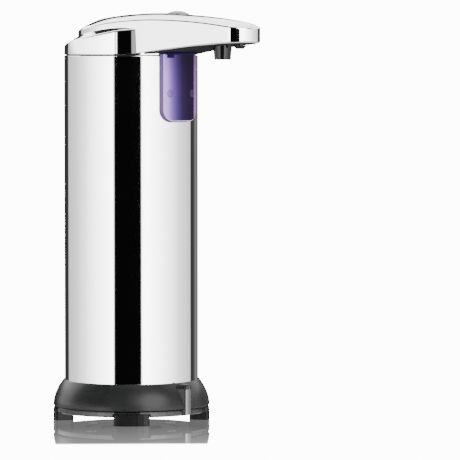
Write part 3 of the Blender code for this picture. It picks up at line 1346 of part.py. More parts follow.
def gear_outline():
    """Outline of an involute gear with a tooth straight along +X."""
    base_radius = PITCH_RADIUS * math.cos(PRESSURE_ANGLE)
    half_tooth = math.pi / 2.0 / GEAR_TEETH - FLANK_PLAY / PITCH_RADIUS
    steps = 3
    flank = []
    for step in range(steps + 1):
        radius = base_radius + (GEAR_TIP_RADIUS - base_radius) * step / steps
        angle = half_tooth + involute(PRESSURE_ANGLE) - involute(math.acos(base_radius / radius))
        flank.append((radius, angle))
    flank.insert(0, (GEAR_ROOT_RADIUS, flank[0][1]))
    outline = []
    for tooth in range(GEAR_TEETH):
        middle = FULL_TURN * tooth / GEAR_TEETH
        for radius, angle in flank:
            outline.append((radius * math.cos(middle - angle), radius * math.sin(middle - angle)))
        for radius, angle in reversed(flank):
            outline.append((radius * math.cos(middle + angle), radius * math.sin(middle + angle)))
    return outline


def stadium(radius, length, sides):
    """Outline round two circles that lie one ahead of the other, centred between them."""
    outline = []
    steps = sides // 2
    for side in (0.0, math.pi):
        middle = length / 2.0 if side == 0.0 else -length / 2.0
        for step in range(steps + 1):
            angle = side - math.pi / 2.0 + math.pi * step / steps
            outline.append((radius * math.sin(angle), -middle - radius * math.cos(angle)))
    return outline


def build_pump(frame, shaft, idler):
    spread = IDLER_AHEAD - MOTOR_AHEAD
    centre = (0.0, -PORT_AHEAD, 0.0)
    outline = stadium(PUMP_RADIUS, spread, MIDDLE_SIDES)
    shape = moved(prism(outline, PUMP_BOTTOM, PUMP_TOP), centre)
    housing = add_piece("pump_housing", shape, FINISHES["inner_plastic"], frame)
    ports = cross_rod(PORT_RADIUS, -PORT_TIP, PORT_TIP, PORT_HEIGHT, PORT_AHEAD, TINY_SIDES)
    join(housing, add_tool("pump_ports", ports, frame))
    shaft_hole = turned([
        (0.0, PUMP_BOTTOM - OVERRUN),
        (SEAL_RADIUS + FIT_GAP, PUMP_BOTTOM - OVERRUN),
        (SEAL_RADIUS + FIT_GAP, PUMP_BOTTOM + SEAL_HEIGHT + FIT_GAP),
        (SHAFT_RADIUS + RUN_GAP, PUMP_BOTTOM + SEAL_HEIGHT + FIT_GAP),
        (SHAFT_RADIUS + RUN_GAP, CHAMBER_BOTTOM + OVERRUN),
        (0.0, CHAMBER_BOTTOM + OVERRUN),
    ], SMALL_SIDES)
    high = PUMP_TOP + OVERRUN
    across = PORT_END + OVERRUN
    pin_bottom = PUMP_BOTTOM + PUMP_FLOOR / 3.0
    hollow = together([
        rod(CHAMBER_RADIUS, CHAMBER_BOTTOM, high, MIDDLE_SIDES, ahead=MOTOR_AHEAD),
        rod(CHAMBER_RADIUS, CHAMBER_BOTTOM, high, MIDDLE_SIDES, ahead=IDLER_AHEAD),
        cross_rod(PORT_BORE_RADIUS, -across, across, PORT_HEIGHT, PORT_AHEAD, TINY_SIDES),
        moved(shaft_hole, (0.0, -MOTOR_AHEAD, 0.0)),
        rod(SHAFT_RADIUS + FIT_GAP, pin_bottom, CHAMBER_BOTTOM + OVERRUN, TINY_SIDES, ahead=IDLER_AHEAD),
    ])
    cut(housing, add_tool("pump_hollow", hollow, frame)).modifiers[-1].use_self = True

    shape = moved(prism(outline, PUMP_COVER_BOTTOM, PUMP_COVER_TOP), centre)
    add_piece("pump_cover", shape, FINISHES["inner_plastic"], frame)
    shape = ring(SHAFT_RADIUS + FIT_GAP, SEAL_RADIUS, PUMP_BOTTOM, PUMP_BOTTOM + SEAL_HEIGHT,
                 SMALL_SIDES, ahead=MOTOR_AHEAD)
    add_piece("shaft_seal", shape, FINISHES["rubber"], frame)
    shape = rod(SHAFT_RADIUS, pin_bottom + FIT_GAP, GEAR_TOP, SMALL_SIDES, ahead=IDLER_AHEAD)
    add_piece("idler_pin", shape, FINISHES["screw_steel"], frame)

    quarter = -math.pi / 2.0
    half_pitch = math.pi / GEAR_TEETH
    for name, parent, turn in (("drive_gear", shaft, quarter), ("driven_gear", idler, quarter + half_pitch)):
        gear = prism(gear_outline(), GEAR_BOTTOM, GEAR_TOP)
        piece = add_piece(name, turned_about_axis(gear, turn), FINISHES["gear_plastic"], parent)
        bore = rod(GEAR_BORE_RADIUS, GEAR_BOTTOM - OVERRUN, GEAR_TOP + OVERRUN, TINY_SIDES)
        cut(piece, add_tool(name + "_bore", bore, parent))


def plan_outline(inset):
    """Half outline of arch and spout in plan, rear to tip, as (ahead, aside) points."""
    rear = ARCH_RADIUS - inset
    corner = TIP_CORNER_RADIUS - inset
    front = TIP_FRONT_RADIUS - inset
    meet = math.pi / 2.0 - TAPER
    outline = []
    for step in range(REAR_STATIONS):
        angle = math.pi + (meet - math.pi) * step / REAR_STATIONS
        outline.append((rear * math.cos(angle), rear * math.sin(angle)))
    start = (rear * math.cos(meet), rear * math.sin(meet))
    end = (CORNER_AHEAD + corner * math.cos(meet), CORNER_ASIDE + corner * math.sin(meet))
    for step in range(SIDE_STATIONS):
        share = step / SIDE_STATIONS
        outline.append((start[0] + (end[0] - start[0]) * share, start[1] + (end[1] - start[1]) * share))
    for step in range(CORNER_STATIONS):
        angle = meet + (TIP_CORNER_TURN - meet) * step / CORNER_STATIONS
        outline.append((CORNER_AHEAD + corner * math.cos(angle), CORNER_ASIDE + corner * math.sin(angle)))
    for step in range(FRONT_STATIONS + 1):
        angle = TIP_CORNER_TURN * (1.0 - step / FRONT_STATIONS)
        outline.append((TIP_CENTRE + front * math.cos(angle), front * math.sin(angle)))
    outline[0] = (outline[0][0], 0.0)
    outline[-1] = (outline[-1][0], 0.0)
    return outline


def arch_solid(inset, floor, drop=0.0):
    """Arch and spout from a floor height up to the crowned roof, which lies lower by the drop."""
    loops = []
    for ahead, aside in plan_outline(inset):
        low = floor(ahead)
        crease = crease_height(ahead) - drop
        crown = crown_height(ahead) - drop
        bevel = min(CREASE_BEVEL, aside / 3.0)
        side = [(0.0, low), (aside, low), (aside, crease - CREASE_BEVEL)]
        for share in DOME_SHARES:
            place = (aside - bevel) * share
            side.append((place, crease + (crown - crease) * (1.0 - share * share)))
        side.append((0.0, crown))
        loop = [Vector((x, -ahead, height)) for x, height in side]
        loop += [Vector((-x, -ahead, height)) for x, height in reversed(side[1:-1])]
        loops.append(loop)
    return open_loft(loops)


def arch_floor(ahead):
    return max(underside_height(ahead), SEAM_HEIGHT + ARCH_SINK)


def open_floor(ahead):
    return underside_height(ahead) - HEAD_WALL


def dome_solid(inset, low_rings, top_share):
    """Collar with the shallow dome that rises from its edge to the arch's foot."""
    radius = BODY_RADIUS - inset
    foot = ARCH_RADIUS - inset
    sides = BIG_SIDES
    angles = [FULL_TURN * step / sides for step in range(sides)]
    loops = [[on_circle(size, angle, height) for angle in angles] for size, height in low_rings]
    top = radius - COLLAR_DRAFT
    face_end = inset + COLLAR_BEVEL
    loops.append([on_circle(top, angle, edge_height(math.cos(angle)) - face_end) for angle in angles])
    for share in (0.0, 0.25, 0.55, 0.8, 1.0):
        size = top - COLLAR_BEVEL + (foot - top + COLLAR_BEVEL) * share
        rise = 1.0 - (1.0 - share) ** DOME_POWER
        loop = []
        for angle in angles:
            edge = edge_height(math.cos(angle)) - inset
            peak = arch_foot_height(math.cos(angle)) - inset
            loop.append(on_circle(size, angle, edge + (peak - edge) * rise))
        loops.append(loop)
    flat = SEAM_HEIGHT + HEAD_HEIGHT * top_share
    loops.append([on_circle(ARCH_RADIUS * DOME_CORE_SHARE, angle, flat) for angle in angles])
    return loft(loops)


def build_head(frame, button):
    spigot_bottom = SEAM_HEIGHT - SPIGOT_DEPTH
    collar_bottom = SEAM_HEIGHT + FIT_GAP
    head = add_piece("head_shell", dome_solid(0.0, [
        (INNER_RADIUS, spigot_bottom), (INNER_RADIUS, collar_bottom), (BODY_RADIUS, collar_bottom),
    ], DOME_TOP_SHARE), FINISHES["chrome"], frame)
    join(head, add_tool("arch_shape", arch_solid(0.0, arch_floor), frame))

    strip = add_tool("neck_strip", neck_strip_wedge(), frame)
    low, high = SEAM_HEIGHT - 2.0 * OVERRUN, SEAM_HEIGHT + HEAD_HEIGHT
    core = rod(BODY_RADIUS - NECK_STRIP_DEPTH, low, high, BIG_SIDES)
    cut(strip, add_tool("neck_strip_core", core, frame))
    cut(head, strip)

    foot_ring = (BODY_RADIUS - HEAD_WALL, spigot_bottom - OVERRUN)
    collar_cavity = dome_solid(HEAD_WALL, [foot_ring], CAVITY_TOP_SHARE)
    cut(head, add_tool("collar_cavity", collar_cavity, frame))
    arch_cavity = add_tool("arch_cavity", arch_solid(HEAD_WALL, open_floor, HEAD_WALL), frame)
    plug = rod(BODY_RADIUS + FIT_GAP, SEAM_HEIGHT - OVERRUN * 2.0, SEAM_HEIGHT + NECK_RISE, BIG_SIDES)
    cut(arch_cavity, add_tool("neck_plug", plug, frame))
    cut(head, arch_cavity)

    button_hole = rod(BUTTON_RADIUS + FIT_GAP, -OVERRUN, OVERRUN, SMALL_SIDES)
    cut(head, add_tool("button_hole", button_hole, button))
    low, high = SEAM_HEIGHT + HEAD_HEIGHT / 2.0, SEAM_HEIGHT + HEAD_HEIGHT + OVERRUN
    filler_hole = rod(NECK_RADIUS, low, high, MIDDLE_SIDES, ahead=-NECK_BEHIND)
    cut(head, add_tool("filler_hole", filler_hole, frame))
    half = WINDOW_HALF_WIDTH + FIT_GAP
    notch = block((-half, half), (WINDOW_REAR - WINDOW_WALL, FACE_RADIUS + FIT_GAP),
                  (spigot_bottom - OVERRUN, WINDOW_TOP + FIT_GAP))
    cut(head, add_tool("window_top_notch", notch, frame))
    flange_half = FLANGE_HALF_WIDTH + FIT_GAP
    flange_notch = block((-flange_half, flange_half), (WINDOW_REAR - OVERRUN, BODY_BORE + FIT_GAP),
                         (spigot_bottom - OVERRUN, SEAM_HEIGHT))
    cut(head, add_tool("flange_notch", flange_notch, frame))


def neck_strip_wedge():
    """Wedge between the seam and the rising lower edge of the head, right across it."""
    reach = BODY_RADIUS + FIT_GAP * 2.0
    start = NECK_FLAT_SHARE * HEAD_LENGTH - ARCH_RADIUS
    steps = 10
    upper = []
    for step in range(steps + 1):
        ahead = start + (reach - start) * step / steps
        upper.append((ahead, underside_height(ahead) + FIT_GAP))
    outline = upper + [(reach, SEAM_HEIGHT - OVERRUN), (start, SEAM_HEIGHT - OVERRUN)]
    loops = []
    for side in (-reach, reach):
        loops.append([Vector((side, -ahead, height)) for ahead, height in outline])
    return loft(loops)


def build_filler(frame, cap_axis):
    gap = FIT_GAP

    def ceiling(ahead, aside):
        return roof_height(ahead, aside, HEAD_WALL) - HEAD_WALL - gap

    funnel_bottom = NECK_TOP + gap
    funnel = disc_solid([
        (NECK_BORE_RADIUS, funnel_bottom), (NECK_RADIUS, funnel_bottom), (NECK_RADIUS, ceiling),
        (NECK_BORE_RADIUS, ceiling),
    ], True)
    add_piece("filler_funnel", funnel, FINISHES["inner_plastic"], cap_axis)

    def top(ahead, aside):
        return roof_height(ahead, aside, 0.0)

    def top_edge(ahead, aside):
        return roof_height(ahead, aside, 0.0) - COLLAR_BEVEL

    def roof_inside(ahead, aside):
        return roof_height(ahead, aside, 0.0) - HEAD_WALL

    cap_bottom = SEAM_HEIGHT + CAP_DEPTH
    bore_radius = CAP_SKIRT_RADIUS - CAP_SKIRT_WALL
    groove_height = cap_bottom + CAP_DEPTH / 4.0
    half = CAP_SEAL_SECTION / 2.0
    groove_radius = CAP_SKIRT_RADIUS - half - 2.0 * gap
    cap = disc_solid([
        (0.0, roof_inside), (bore_radius / 2.0, roof_inside), (bore_radius, roof_inside),
        (bore_radius, cap_bottom), (CAP_SKIRT_RADIUS, cap_bottom),
        (CAP_SKIRT_RADIUS, groove_height - half - gap), (groove_radius, groove_height - half - gap),
        (groove_radius, groove_height + half + gap), (CAP_SKIRT_RADIUS, groove_height + half + gap),
        (CAP_SKIRT_RADIUS, roof_inside), (CAP_RADIUS, roof_inside), (CAP_RADIUS, top_edge),
        (CAP_RADIUS - COLLAR_BEVEL, top), (CAP_RADIUS * 0.7, top), (CAP_RADIUS * 0.35, top), (0.0, top),
    ], False)
    lid = add_piece("filler_cap", cap, FINISHES["chrome"], cap_axis)
    low, high = SEAM_HEIGHT + HEAD_HEIGHT / 2.0, SEAM_HEIGHT + HEAD_HEIGHT + OVERRUN
    nail = rod(CAP_LIFT_NOTCH, low, high, SMALL_SIDES, ahead=-CAP_RADIUS - CAP_LIFT_NOTCH / 3.0)
    cut(lid, add_tool("cap_nail_notch", nail, cap_axis))
    seal_radius = CAP_SKIRT_RADIUS - half + gap / 2.0
    seal = torus(seal_radius, half, groove_height, MIDDLE_SIDES)
    add_piece("filler_seal", seal, FINISHES["rubber"], cap_axis)


def roof_height(ahead, aside, inset):
    """Height of the crowned roof of an arch with the given inset, near the head's rear."""
    half_width = math.sqrt((ARCH_RADIUS - inset) ** 2 - ahead ** 2) - CREASE_BEVEL
    share = aside / half_width
    crease = crease_height(ahead)
    return crease + (crown_height(ahead) - crease) * (1.0 - share * share)


def disc_solid(profile, is_ring):
    """Round solid about the filler's axis, whose heights may follow the roof above it."""
    loops = []
    for radius, height in profile:
        loop = []
        for step in range(MIDDLE_SIDES):
            point = on_circle(radius, FULL_TURN * step / MIDDLE_SIDES, 0.0)
            point.z = height(-point.y - NECK_BEHIND, point.x) if callable(height) else height
            loop.append(point)
        loops.append(loop)
    if is_ring:
        loops.append(loops[0])
    return open_loft(loops)


def build_spout(frame):
    gap = HEAD_WALL + FIT_GAP

    def plate_floor(ahead):
        return underside_height(ahead) - UNDERPLATE_STANDOUT

    loops = []
    for ahead, aside in plan_outline(gap):
        low = plate_floor(ahead)
        high = low + UNDERPLATE_THICKNESS
        side = [(0.0, low), (aside, low), (aside, high), (0.0, high)]
        loop = [Vector((x, -ahead, height)) for x, height in side]
        loop += [Vector((-x, -ahead, height)) for x, height in reversed(side[1:-1])]
        loops.append(loop)
    plate = add_piece("spout_underplate", open_loft(loops), FINISHES["black_plastic"], frame)
    inside = rod(BODY_RADIUS + 2.0 * FIT_GAP, SEAM_HEIGHT - OVERRUN, SEAM_HEIGHT + HEAD_HEIGHT, BIG_SIDES)
    cut(plate, add_tool("plate_rear_cut", inside, frame))
    rear_end = BODY_RADIUS * PLATE_REAR_SHARE
    rear = block((-BODY_RADIUS, BODY_RADIUS), (-BODY_RADIUS, rear_end),
                 (SEAM_HEIGHT - OVERRUN, SEAM_HEIGHT + HEAD_HEIGHT))
    cut(plate, add_tool("plate_rear_block", rear, frame))
    half = WINDOW_HALF_WIDTH + FIT_GAP
    notch = block((-half, half), (BODY_RADIUS / 2.0, FACE_RADIUS + FIT_GAP),
                  (SEAM_HEIGHT - OVERRUN, SEAM_HEIGHT + HEAD_HEIGHT))
    cut(plate, add_tool("plate_window_notch", notch, frame))

    face = plate_floor(NOZZLE_AHEAD)
    plate_top = face + UNDERPLATE_THICKNESS
    nozzle_bottom = face - NOZZLE_DROP + UNDERPLATE_STANDOUT
    flange_bottom = plate_top + 2.0 * FIT_GAP
    flange_top = flange_bottom + NOZZLE_FLANGE_HEIGHT
    nozzle = turned([
        (NOZZLE_BORE_RADIUS, flange_top), (NOZZLE_FLANGE_RADIUS, flange_top),
        (NOZZLE_FLANGE_RADIUS, flange_bottom),
        (NOZZLE_TOP_RADIUS, flange_bottom), (NOZZLE_TOP_RADIUS, face - FIT_GAP),
        (NOZZLE_END_RADIUS, nozzle_bottom + NOZZLE_EDGE), (NOZZLE_END_RADIUS - NOZZLE_EDGE, nozzle_bottom),
        (NOZZLE_BORE_RADIUS, nozzle_bottom),
    ], SMALL_SIDES)
    place = (0.0, -NOZZLE_AHEAD, 0.0)
    add_piece("nozzle", nozzle, FINISHES["gloss_black"], frame, location=place)
    low, high = face - OVERRUN, flange_bottom + OVERRUN
    hole = rod(NOZZLE_TOP_RADIUS + FIT_GAP, low, high, SMALL_SIDES, ahead=NOZZLE_AHEAD)
    cut(plate, add_tool("nozzle_hole", hole, frame))

    valve_bottom = nozzle_bottom + VALVE_INSET
    valve_radius = NOZZLE_BORE_RADIUS - FIT_GAP
    valve = turned([
        (VALVE_BORE_RADIUS, valve_bottom + VALVE_LENGTH), (valve_radius, valve_bottom + VALVE_LENGTH),
        (valve_radius, valve_bottom + VALVE_LENGTH / 2.0), (VALVE_TIP_RADIUS, valve_bottom),
        (VALVE_BORE_RADIUS, valve_bottom),
    ], SMALL_SIDES)
    add_piece("outlet_valve", valve, FINISHES["rubber"], frame, location=place)

    elbow_bottom = flange_top + FIT_GAP
    elbow_top = elbow_bottom + ELBOW_HEIGHT
    port_height = elbow_bottom + ELBOW_HEIGHT * 0.55
    shape = rod(ELBOW_RADIUS, elbow_bottom, elbow_top, SMALL_SIDES, ahead=NOZZLE_AHEAD)
    elbow = add_piece("nozzle_elbow", shape, FINISHES["inner_plastic"], frame)
    port_start = NOZZLE_AHEAD - ELBOW_RADIUS - ELBOW_PORT_LENGTH
    port = forward_rod(PORT_RADIUS, port_start, NOZZLE_AHEAD, port_height, 0.0, TINY_SIDES)
    join(elbow, add_tool("elbow_port", port, frame))
    bore_top = port_height + ELBOW_BORE_RADIUS
    bores = together([
        rod(ELBOW_BORE_RADIUS * 1.5, elbow_bottom - OVERRUN, bore_top, TINY_SIDES, ahead=NOZZLE_AHEAD),
        forward_rod(ELBOW_BORE_RADIUS, port_start - OVERRUN, NOZZLE_AHEAD, port_height, 0.0, TINY_SIDES),
    ])
    cut(elbow, add_tool("elbow_bores", bores, frame)).modifiers[-1].use_self = True

    tube_end = NOZZLE_AHEAD - ELBOW_RADIUS - FIT_GAP
    swing = PORT_END
    past_board = BOARD_FRONT + TUBE_RADIUS * 0.8
    stops = [
        (-PUMP_RADIUS - FIT_GAP, PORT_AHEAD, PORT_HEIGHT),
        (-swing, PORT_AHEAD, PORT_HEIGHT),
        (-swing - TUBE_RADIUS * 0.2, PORT_AHEAD + TUBE_RADIUS * 1.8, PORT_HEIGHT + TUBE_RADIUS * 0.9),
        (-OUTLET_ASIDE, BODY_RADIUS * 0.88, port_height - TUBE_RADIUS * 1.2),
        (-OUTLET_ASIDE, BUTTON_AHEAD + TUBE_RADIUS * 0.6, port_height - TUBE_RADIUS),
        (-OUTLET_ASIDE * 0.93, past_board, port_height - TUBE_RADIUS / 2.0),
        (-OUTLET_ASIDE * 0.41, (past_board + port_start) / 2.0, port_height),
        (0.0, port_start - TUBE_RADIUS, port_height),
        (0.0, port_start + TUBE_RADIUS, port_height),
        (0.0, tube_end, port_height),
    ]
    stops = [Vector((aside, -ahead, height)) for aside, ahead, height in stops]
    add_piece("outlet_tube", hollow_path(smooth_path(stops, 3), TUBE_RADIUS, TUBE_BORE_RADIUS, 8),
              FINISHES["tube_plastic"], frame)

    lens_face = plate_floor(LENS_AHEAD + LENS_RADIUS) - FIT_GAP
    lens_face = min(lens_face, plate_floor(LENS_AHEAD - LENS_RADIUS) - FIT_GAP)
    stem_top = plate_floor(LENS_AHEAD) + UNDERPLATE_THICKNESS + FIT_GAP
    lens = turned([
        (0.0, lens_face - LENS_DROP), (LENS_END_RADIUS, lens_face - LENS_DROP), (LENS_RADIUS, lens_face),
        (LENS_STEM_RADIUS, lens_face), (LENS_STEM_RADIUS, stem_top), (0.0, stem_top),
    ], SMALL_SIDES)
    spot = (0.0, -LENS_AHEAD, 0.0)
    add_piece("status_lens", lens, FINISHES["gloss_black"], frame, location=spot)
    hole = rod(LENS_STEM_RADIUS + FIT_GAP, low, high, SMALL_SIDES, ahead=LENS_AHEAD)
    cut(plate, add_tool("lens_hole", hole, frame))
    light_bottom = stem_top + FIT_GAP
    light = turned([
        (0.0, light_bottom), (LIGHT_RADIUS * 0.6, light_bottom + LIGHT_RADIUS * 0.3),
        (LIGHT_RADIUS, light_bottom + LIGHT_RADIUS), (LIGHT_RADIUS, light_bottom + LIGHT_HEIGHT),
        (0.0, light_bottom + LIGHT_HEIGHT),
    ], TINY_SIDES)
    add_piece("status_light", light, FINISHES["sensor_resin"], frame, location=spot)


def build_button(frame, button):
    """Button, plunger, switch and board, placed along the button's own axis."""
    flange_top = -HEAD_WALL - 2.0 * FIT_GAP
    flange_bottom = flange_top - BUTTON_FLANGE_THICKNESS
    stem_bottom = flange_bottom - BUTTON_STEM_LENGTH
    crown = []
    steps = 5
    for step in range(steps):
        share = step / steps
        rise = (BUTTON_CROWN - BUTTON_SKIRT_TOP) * (1.0 - (1.0 - share) ** BUTTON_DOME_POWER)
        crown.append((BUTTON_RADIUS * (1.0 - share), BUTTON_SKIRT_TOP + rise))
    profile = [
        (0.0, stem_bottom), (BUTTON_STEM_RADIUS, stem_bottom), (BUTTON_STEM_RADIUS, flange_bottom),
        (BUTTON_FLANGE_RADIUS, flange_bottom), (BUTTON_FLANGE_RADIUS, flange_top), (BUTTON_RADIUS, flange_top),
    ]
    profile += crown + [(0.0, BUTTON_CROWN)]
    add_piece("button_cap", turned(profile, SMALL_SIDES), FINISHES["button_plastic"], button)

    plunger_top = stem_bottom - FIT_GAP
    plunger_bottom = plunger_top - PLUNGER_LENGTH
    add_piece("switch_plunger", rod(PLUNGER_RADIUS, plunger_bottom, plunger_top, SMALL_SIDES),
              FINISHES["black_plastic"], button)

    switch_frame = add_empty("switch_axis", button.parent, button.location, button.rotation_euler)
    switch_top = plunger_top - PLUNGER_SHOW
    switch_bottom = switch_top - SWITCH_HEIGHT
    half = SWITCH_WIDTH / 2.0
    switch = add_piece("push_switch", block((-half, half), (-half, half), (switch_bottom, switch_top)),
                       FINISHES["motor_steel"], switch_frame)
    well_bottom = plunger_bottom - BUTTON_TRAVEL - FIT_GAP
    well = rod(PLUNGER_RADIUS + RUN_GAP, well_bottom, switch_top + OVERRUN, SMALL_SIDES)
    cut(switch, add_tool("switch_well", well, switch_frame))

    board_top = switch_bottom - FIT_GAP
    wide, long = CONTROL_BOARD_WIDTH / 2.0, CONTROL_BOARD_LENGTH / 2.0
    add_piece("control_board", block((-wide, wide), (-long, long), (board_top - BOARD_THICKNESS, board_top)),
              FINISHES["circuit_board"], switch_frame)
    head = bpy.data.objects["head_shell"]
    for name, side in (("board_post_right", 1.0), ("board_post_left", -1.0)):
        post = rod(POST_RADIUS, board_top + FIT_GAP, -HEAD_WALL, TINY_SIDES, aside=side * (wide - POST_INSET))
        join(head, add_tool(name, post, switch_frame))


def build():
    for leftover in list(bpy.data.objects):
        bpy.data.objects.remove(leftover, do_unlink=True)
    frame = add_empty("body_axis", None, (0.0, AXIS_SETBACK, 0.0))
    shaft = add_empty("motor_axis", frame, (0.0, -MOTOR_AHEAD, 0.0))
    idler = add_empty("idler_axis", frame, (0.0, -IDLER_AHEAD, 0.0))
    cap_axis = add_empty("cap_axis", frame, (0.0, NECK_BEHIND, 0.0))
    step = BUTTON_RADIUS / 2.0
    slope = (crown_height(BUTTON_AHEAD + step) - crown_height(BUTTON_AHEAD - step)) / (2.0 * step)
    button = add_empty("button_axis", frame, (0.0, -BUTTON_AHEAD, crown_height(BUTTON_AHEAD)),
                       (-math.atan(slope), 0.0, 0.0))
    build_base(frame)
    build_battery_bay(frame)
    build_body(frame)
    build_reservoir(frame)
    build_deck(frame)
    build_motor(frame, shaft)
    build_pump(frame, shaft, idler)
    build_window(frame)
    build_sensor(frame)
    build_head(frame, button)
    build_filler(frame, cap_axis)
    build_spout(frame)
    build_button(frame, button)


build()
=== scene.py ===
import math

import bmesh
import bpy
from mathutils import Matrix, Vector


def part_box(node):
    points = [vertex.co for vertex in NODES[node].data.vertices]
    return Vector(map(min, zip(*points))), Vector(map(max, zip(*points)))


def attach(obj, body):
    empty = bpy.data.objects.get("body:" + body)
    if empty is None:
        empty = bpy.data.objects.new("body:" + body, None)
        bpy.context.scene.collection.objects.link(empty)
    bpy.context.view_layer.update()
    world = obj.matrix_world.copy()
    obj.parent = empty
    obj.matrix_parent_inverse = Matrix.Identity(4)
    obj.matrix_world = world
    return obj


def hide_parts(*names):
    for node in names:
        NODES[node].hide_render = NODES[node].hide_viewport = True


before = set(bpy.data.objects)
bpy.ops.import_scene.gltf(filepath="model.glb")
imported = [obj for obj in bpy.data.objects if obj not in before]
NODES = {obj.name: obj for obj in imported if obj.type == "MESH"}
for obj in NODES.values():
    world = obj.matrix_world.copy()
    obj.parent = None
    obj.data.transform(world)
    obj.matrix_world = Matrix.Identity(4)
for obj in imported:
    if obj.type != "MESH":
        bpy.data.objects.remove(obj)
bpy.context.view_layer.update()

MM = 0.001
FULL_TURN = 2.0 * math.pi
QUARTER_TURN = math.pi / 2.0
UP = Vector((0.0, 0.0, 1.0))

# Places read from the frame. "Ahead" is the distance from the body's axis towards the spout's tip.
tube_low, tube_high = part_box("body_tube")
head_low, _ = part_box("head_shell")
plate_low, plate_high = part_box("base_plate")
window_low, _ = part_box("sensor_window")
nozzle_low, nozzle_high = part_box("nozzle")
SKIRT_OVERHANG = 0.3 * MM
BODY_RADIUS = (tube_high.x - tube_low.x) / 2.0
AXIS_Y = (tube_high.y + tube_low.y) / 2.0
SEAM_HEIGHT = tube_high.z
SPOUT_REACH = AXIS_Y - head_low.y
NOZZLE_AHEAD = AXIS_Y - (nozzle_low.y + nozzle_high.y) / 2.0
BASE_RADIUS = (plate_high.x - plate_low.x) / 2.0 + SKIRT_OVERHANG
BODY_AXIS = Matrix.Translation((0.0, AXIS_Y, 0.0))

# Clearances and smoothness of the detailed pieces
FIT_GAP = 0.3 * MM
OVERRUN = 4.0 * MM
WELD = 0.001 * MM
ROUND_SIDES = 192
SMALL_SIDES = 96
BORE_SIDES = 32
ARC_STEPS = 5
EDGE_SUPPORT = 0.12 * MM
SMOOTH_ANGLE = math.radians(32)

# Camera of the photograph: VIEW points from the object to the camera, RIGHT to the picture's right
CAMERA_HEIGHT = 173.8 * MM
CAMERA_DISTANCE = 1670.0 * MM
LENS_MM = 273.5
SENSOR_MM = 36.0
CLIP_NEAR = 0.01
CLIP_FAR = 20.0
VIEW = Vector((-math.sqrt(0.5), -math.sqrt(0.5), 0.0))
RIGHT = Vector((-VIEW.y, VIEW.x, 0.0))
YAW = math.radians(1.62)
PITCH = math.radians(-2.86)

# Head: arch and spout in plan
HEAD_HEIGHT = 20.0 * MM
HEAD_WALL = 1.8 * MM
SPIGOT_DEPTH = 2.4 * MM
SPIGOT_BOTTOM = SEAM_HEIGHT - SPIGOT_DEPTH
COLLAR_BOTTOM = SEAM_HEIGHT + FIT_GAP
ARCH_STEP = 6.7 * MM
ARCH_RADIUS = BODY_RADIUS - ARCH_STEP
HEAD_LENGTH = SPOUT_REACH + ARCH_RADIUS
TIP_FRONT_RADIUS = 11.5 * MM
TIP_CORNER_RADIUS = 5.6 * MM
TIP_CORNER_TURN = math.radians(58)
TIP_CENTRE = SPOUT_REACH - TIP_FRONT_RADIUS
CORNER_OFFSET = TIP_FRONT_RADIUS - TIP_CORNER_RADIUS
CORNER_AHEAD = TIP_CENTRE + CORNER_OFFSET * math.cos(TIP_CORNER_TURN)
CORNER_ASIDE = CORNER_OFFSET * math.sin(TIP_CORNER_TURN)
CORNER_DISTANCE = math.hypot(CORNER_AHEAD, CORNER_ASIDE)
CORNER_DIRECTION = math.atan2(CORNER_ASIDE, CORNER_AHEAD)
TAPER = math.asin((ARCH_RADIUS - TIP_CORNER_RADIUS) / CORNER_DISTANCE) - CORNER_DIRECTION
REAR_STATIONS = 44
SIDE_STATIONS = 36
CORNER_STATIONS = 16
FRONT_STATIONS = 20

# Head: rounded edges, dome, neck and hollow, with turns in degrees
CREASE_BEVEL = 0.9 * MM
CREASE_TURN = 78.0
FOOT_BEVEL = 0.8 * MM
COLLAR_BEVEL = 0.9 * MM
COLLAR_TURN = 80.0
COLLAR_LEAN = 0.022
SEAM_BEVEL = 0.35 * MM
SEAM_SHADE_SHARE = 0.12
NECK_STRIP_DEPTH = 0.4 * MM
NECK_STRIP_STEPS = 30
NECK_RISE = 3.6 * MM
ARCH_SINK = 0.6 * MM
ROOF_STEPS = 14
DOME_REACH_SHARE = 1.2
DOME_STEPS = 12
DOME_CORE_SHARE = 0.5
DOME_TOP_SHARE = 0.6
CAVITY_TOP_SHARE = 0.45

# Head: heights above the seam as shares of HEAD_HEIGHT, along the head or by the cosine of a direction
CURVE_BLUR = 0.035
BLUR_SAMPLES = (-1.0, -0.5, 0.0, 0.5, 1.0)
CROWN_SHARES = [
    (0.0, 0.53), (0.1, 0.865), (0.214, 0.955), (0.371, 1.0), (0.482, 0.995), (0.623, 0.948),
    (0.719, 0.911), (0.835, 0.848), (0.92, 0.787), (0.971, 0.73), (1.0, 0.645),
]
CREASE_SHARES = [
    (0.0, 0.53), (0.07, 0.59), (0.241, 0.73), (0.326, 0.7875), (0.3985, 0.8275), (0.471, 0.85),
    (0.544, 0.8575), (0.647, 0.84), (0.722, 0.815), (0.824, 0.765), (0.937, 0.6825), (1.0, 0.645),
]
NECK_FLAT_SHARE = 0.3994
UNDERSIDE_SHARES = [
    (0.0, 0.0), (0.2, 0.0), (NECK_FLAT_SHARE, 0.0), (0.5067, 0.055), (0.6054, 0.1225), (0.7203, 0.1875),
    (0.8238, 0.24), (0.9368, 0.28), (1.0, 0.293),
]
EDGE_SHARES = [
    (-1.0, 0.15), (-0.702, 0.24), (-0.25, 0.37), (0.147, 0.47), (0.304, 0.515), (0.448, 0.563),
    (0.539, 0.593), (0.683, 0.622), (0.777, 0.628), (1.0, 0.63),
]
ARCH_FOOT_SHARES = [
    (-1.0, 0.37), (-0.71, 0.445), (-0.19, 0.53), (0.254, 0.615), (0.69, 0.69), (0.913, 0.70), (1.0, 0.70),
]

